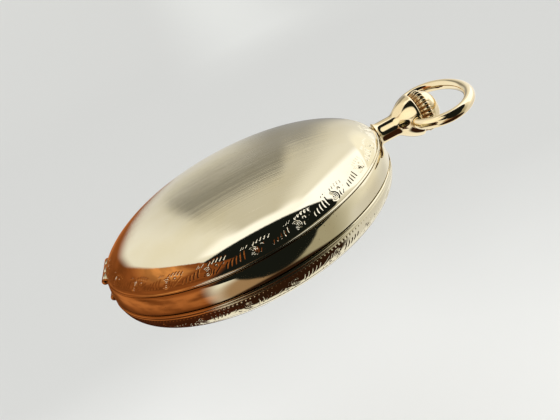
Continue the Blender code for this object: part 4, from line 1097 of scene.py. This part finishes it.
def warm_card():
    """A curved, warm card around the hinge side, with soft edges. Only reflections see it."""
    made, nodes, _, place = new_material("card_warm")
    across, along, up = nodes.split(place)
    heading = nodes.maths("DEGREES", nodes.maths("ARCTAN2", along, across))
    cloud = nodes.noise(nodes.stretched(place, (0.06, 0.06, 0.14)), 1.0, 3.0)
    tone = nodes.mix(nodes.ramp(up, -8.0, 3.0), UMBER, CHESTNUT)
    streak = nodes.times(within(nodes, up, (2, 11, 3)), nodes.ramp(cloud, 0.40, 0.60))
    tone = nodes.mix(streak, tone, COPPER)
    lit = nodes.times(within(nodes, up, (34, 60, 9)), within(nodes, heading, (-112, -66, 10)))
    tone = nodes.mix(lit, tone, AMBER)
    glow_softly(nodes, tone, nodes.ramp(cloud, 0.3, 0.7, 0.72, 1.28), WARM_CARD_SOFTNESS)
    columns, rows = 72, 24
    first, last = WARM_CARD_HEADINGS[0], WARM_CARD_HEADINGS[-1]
    verts, distances = [], []
    for heading in np.linspace(first, last, columns + 1):
        top = float(np.interp(heading, WARM_CARD_HEADINGS, WARM_CARD_TOPS))
        angle = math.radians(heading)
        end = math.radians(last - heading) * WARM_CARD_REACH
        x, y = WARM_CARD_REACH * math.cos(angle), WARM_CARD_REACH * math.sin(angle)
        for height in np.linspace(WARM_CARD_FOOT, top, rows + 1):
            verts.append((x, y, height))
            distances.append(min(top - height, end))
    reflected_only("card_warm", verts, grid_faces(columns, rows), made, distances)


def pendant_card():
    """A small white card with soft edges that lights the cup. Only reflections see it."""
    made, nodes, _, place = new_material("card_white")
    haze = nodes.ramp(nodes.noise(place, 0.08, 2.0), 0.3, 0.7, 0.92, 1.12)
    glow_softly(nodes, rgba(CUP_CARD_COLOUR), haze, CUP_CARD_SOFTNESS)
    way = Vector(direction_vector(*CUP_CARD_DIRECTION))
    centre = Vector(CUP_PLACE) + way * CUP_CARD_DISTANCE
    across = way.cross(Vector((0, 0, 1))).normalized()
    up = across.cross(way)
    wide, tall = CUP_CARD_HALF_SIZE
    steps = 12
    verts, distances = [], []
    for u in np.linspace(-1, 1, steps + 1):
        for v in np.linspace(-1, 1, steps + 1):
            verts.append(centre + across * (u * wide) + up * (v * tall))
            distances.append(tall * (1 - math.hypot(u, v)))
    reflected_only("card_white", verts, grid_faces(steps, steps), made, distances)


def glow_softly(nodes, tone, strength, softness):
    """Makes a card glow, and fade out over this distance from its edge."""
    glow = nodes.add("ShaderNodeEmission", {"Color": tone, "Strength": strength})
    clear = nodes.add("ShaderNodeBsdfTransparent")
    edge = nodes.add("ShaderNodeAttribute", attribute_name="edge_distance").outputs["Fac"]
    show_mix(nodes, nodes.ramp(edge, 0.0, softness), clear, glow)


def grid_faces(columns, rows):
    """Faces of a sheet whose points are listed column by column."""
    faces = []
    for i in range(columns):
        for k in range(rows):
            a = i * (rows + 1) + k
            faces.append((a, a + rows + 1, a + rows + 2, a + 1))
    return faces


def reflected_only(name, verts, faces, surface, distances):
    """A card that only reflections see. distances run from each vertex to its edge."""
    card = stage_object(name, verts, faces, surface)
    attribute = card.data.attributes.new("edge_distance", "FLOAT", "POINT")
    attribute.data.foreach_set("value", distances)
    card.visible_camera = False
    card.visible_shadow = False


def stage_object(name, verts, faces, surface):
    """An object that belongs to the studio. Matte surfaces don't see it."""
    made = new_object(name, verts, faces, surface)
    made.visible_diffuse = False
    return made


def pale_floor():
    """A wide pale floor that sweeps up into a backdrop, with painted shade: it darkens into
    the distance, and a band far beyond is painted lighter again.
    """
    made, nodes, shader, place = new_material("floor_pale")
    across, along, _ = nodes.split(place)
    away = nodes.plus(nodes.times(nodes.noise(place, 0.004, 3.0), 160.0), across)
    # painted shade: darker away from the near side, and painted lighter again in a band beyond
    tone = nodes.mix(nodes.ramp(away, 95.0, -15.0), NEAR_TONE, FAR_TONE)
    middle = within(nodes, along, (20, 150, 60))
    beyond = nodes.times(nodes.ramp(away, -330.0, -620.0), middle)
    tone = nodes.mix(beyond, tone, BEYOND_TONE)
    link(nodes, shader, "Base Color", tone)
    shader.inputs["Roughness"].default_value = 0.7
    shader.inputs["Specular IOR Level"].default_value = 0.1
    profile = [(BACKDROP, FLOOR + BACKDROP)]
    for a in np.linspace(math.pi / 2, 0, 16):
        rise = FLOOR_SWEEP * (1 - math.cos(a))
        profile.append((FLOOR_FLAT + FLOOR_SWEEP * math.sin(a), FLOOR + rise))
    profile += [(400.0, FLOOR), (0.0, FLOOR)]
    verts, faces = turned(rings_of(profile, 96), closed=False)
    floor = stage_object("floor", verts, faces, made)
    floor.visible_glossy = False


def camera():
    """The camera, at the angle the watch is seen from."""
    lens = bpy.data.cameras.new("camera")
    lens.lens = CAMERA_LENS
    lens.sensor_width = 36.0
    lens.clip_start = 0.001
    made = bpy.data.objects.new("camera", lens)
    towards = Vector(CAMERA_AIM) - Vector(CAMERA_PLACE)
    roll = Matrix.Rotation(math.radians(CAMERA_ROLL), 4, "Z")
    turn = towards.to_track_quat("-Z", "Y").to_matrix().to_4x4() @ roll
    made.matrix_world = Matrix.Translation(Vector(CAMERA_PLACE) * MM) @ turn
    bpy.context.scene.collection.objects.link(made)
    bpy.context.scene.camera = made


# -------------------- the scene

camera()
studio()
pale_floor()
warm_card()
pendant_card()
front_cover()
rear_cover()
dust_cover()
band()
bezel()
crystal()
pendant()
crown()
bow()
dial()
hands()
dress_nodes()
bpy.context.scene.view_settings.view_transform = "Standard"
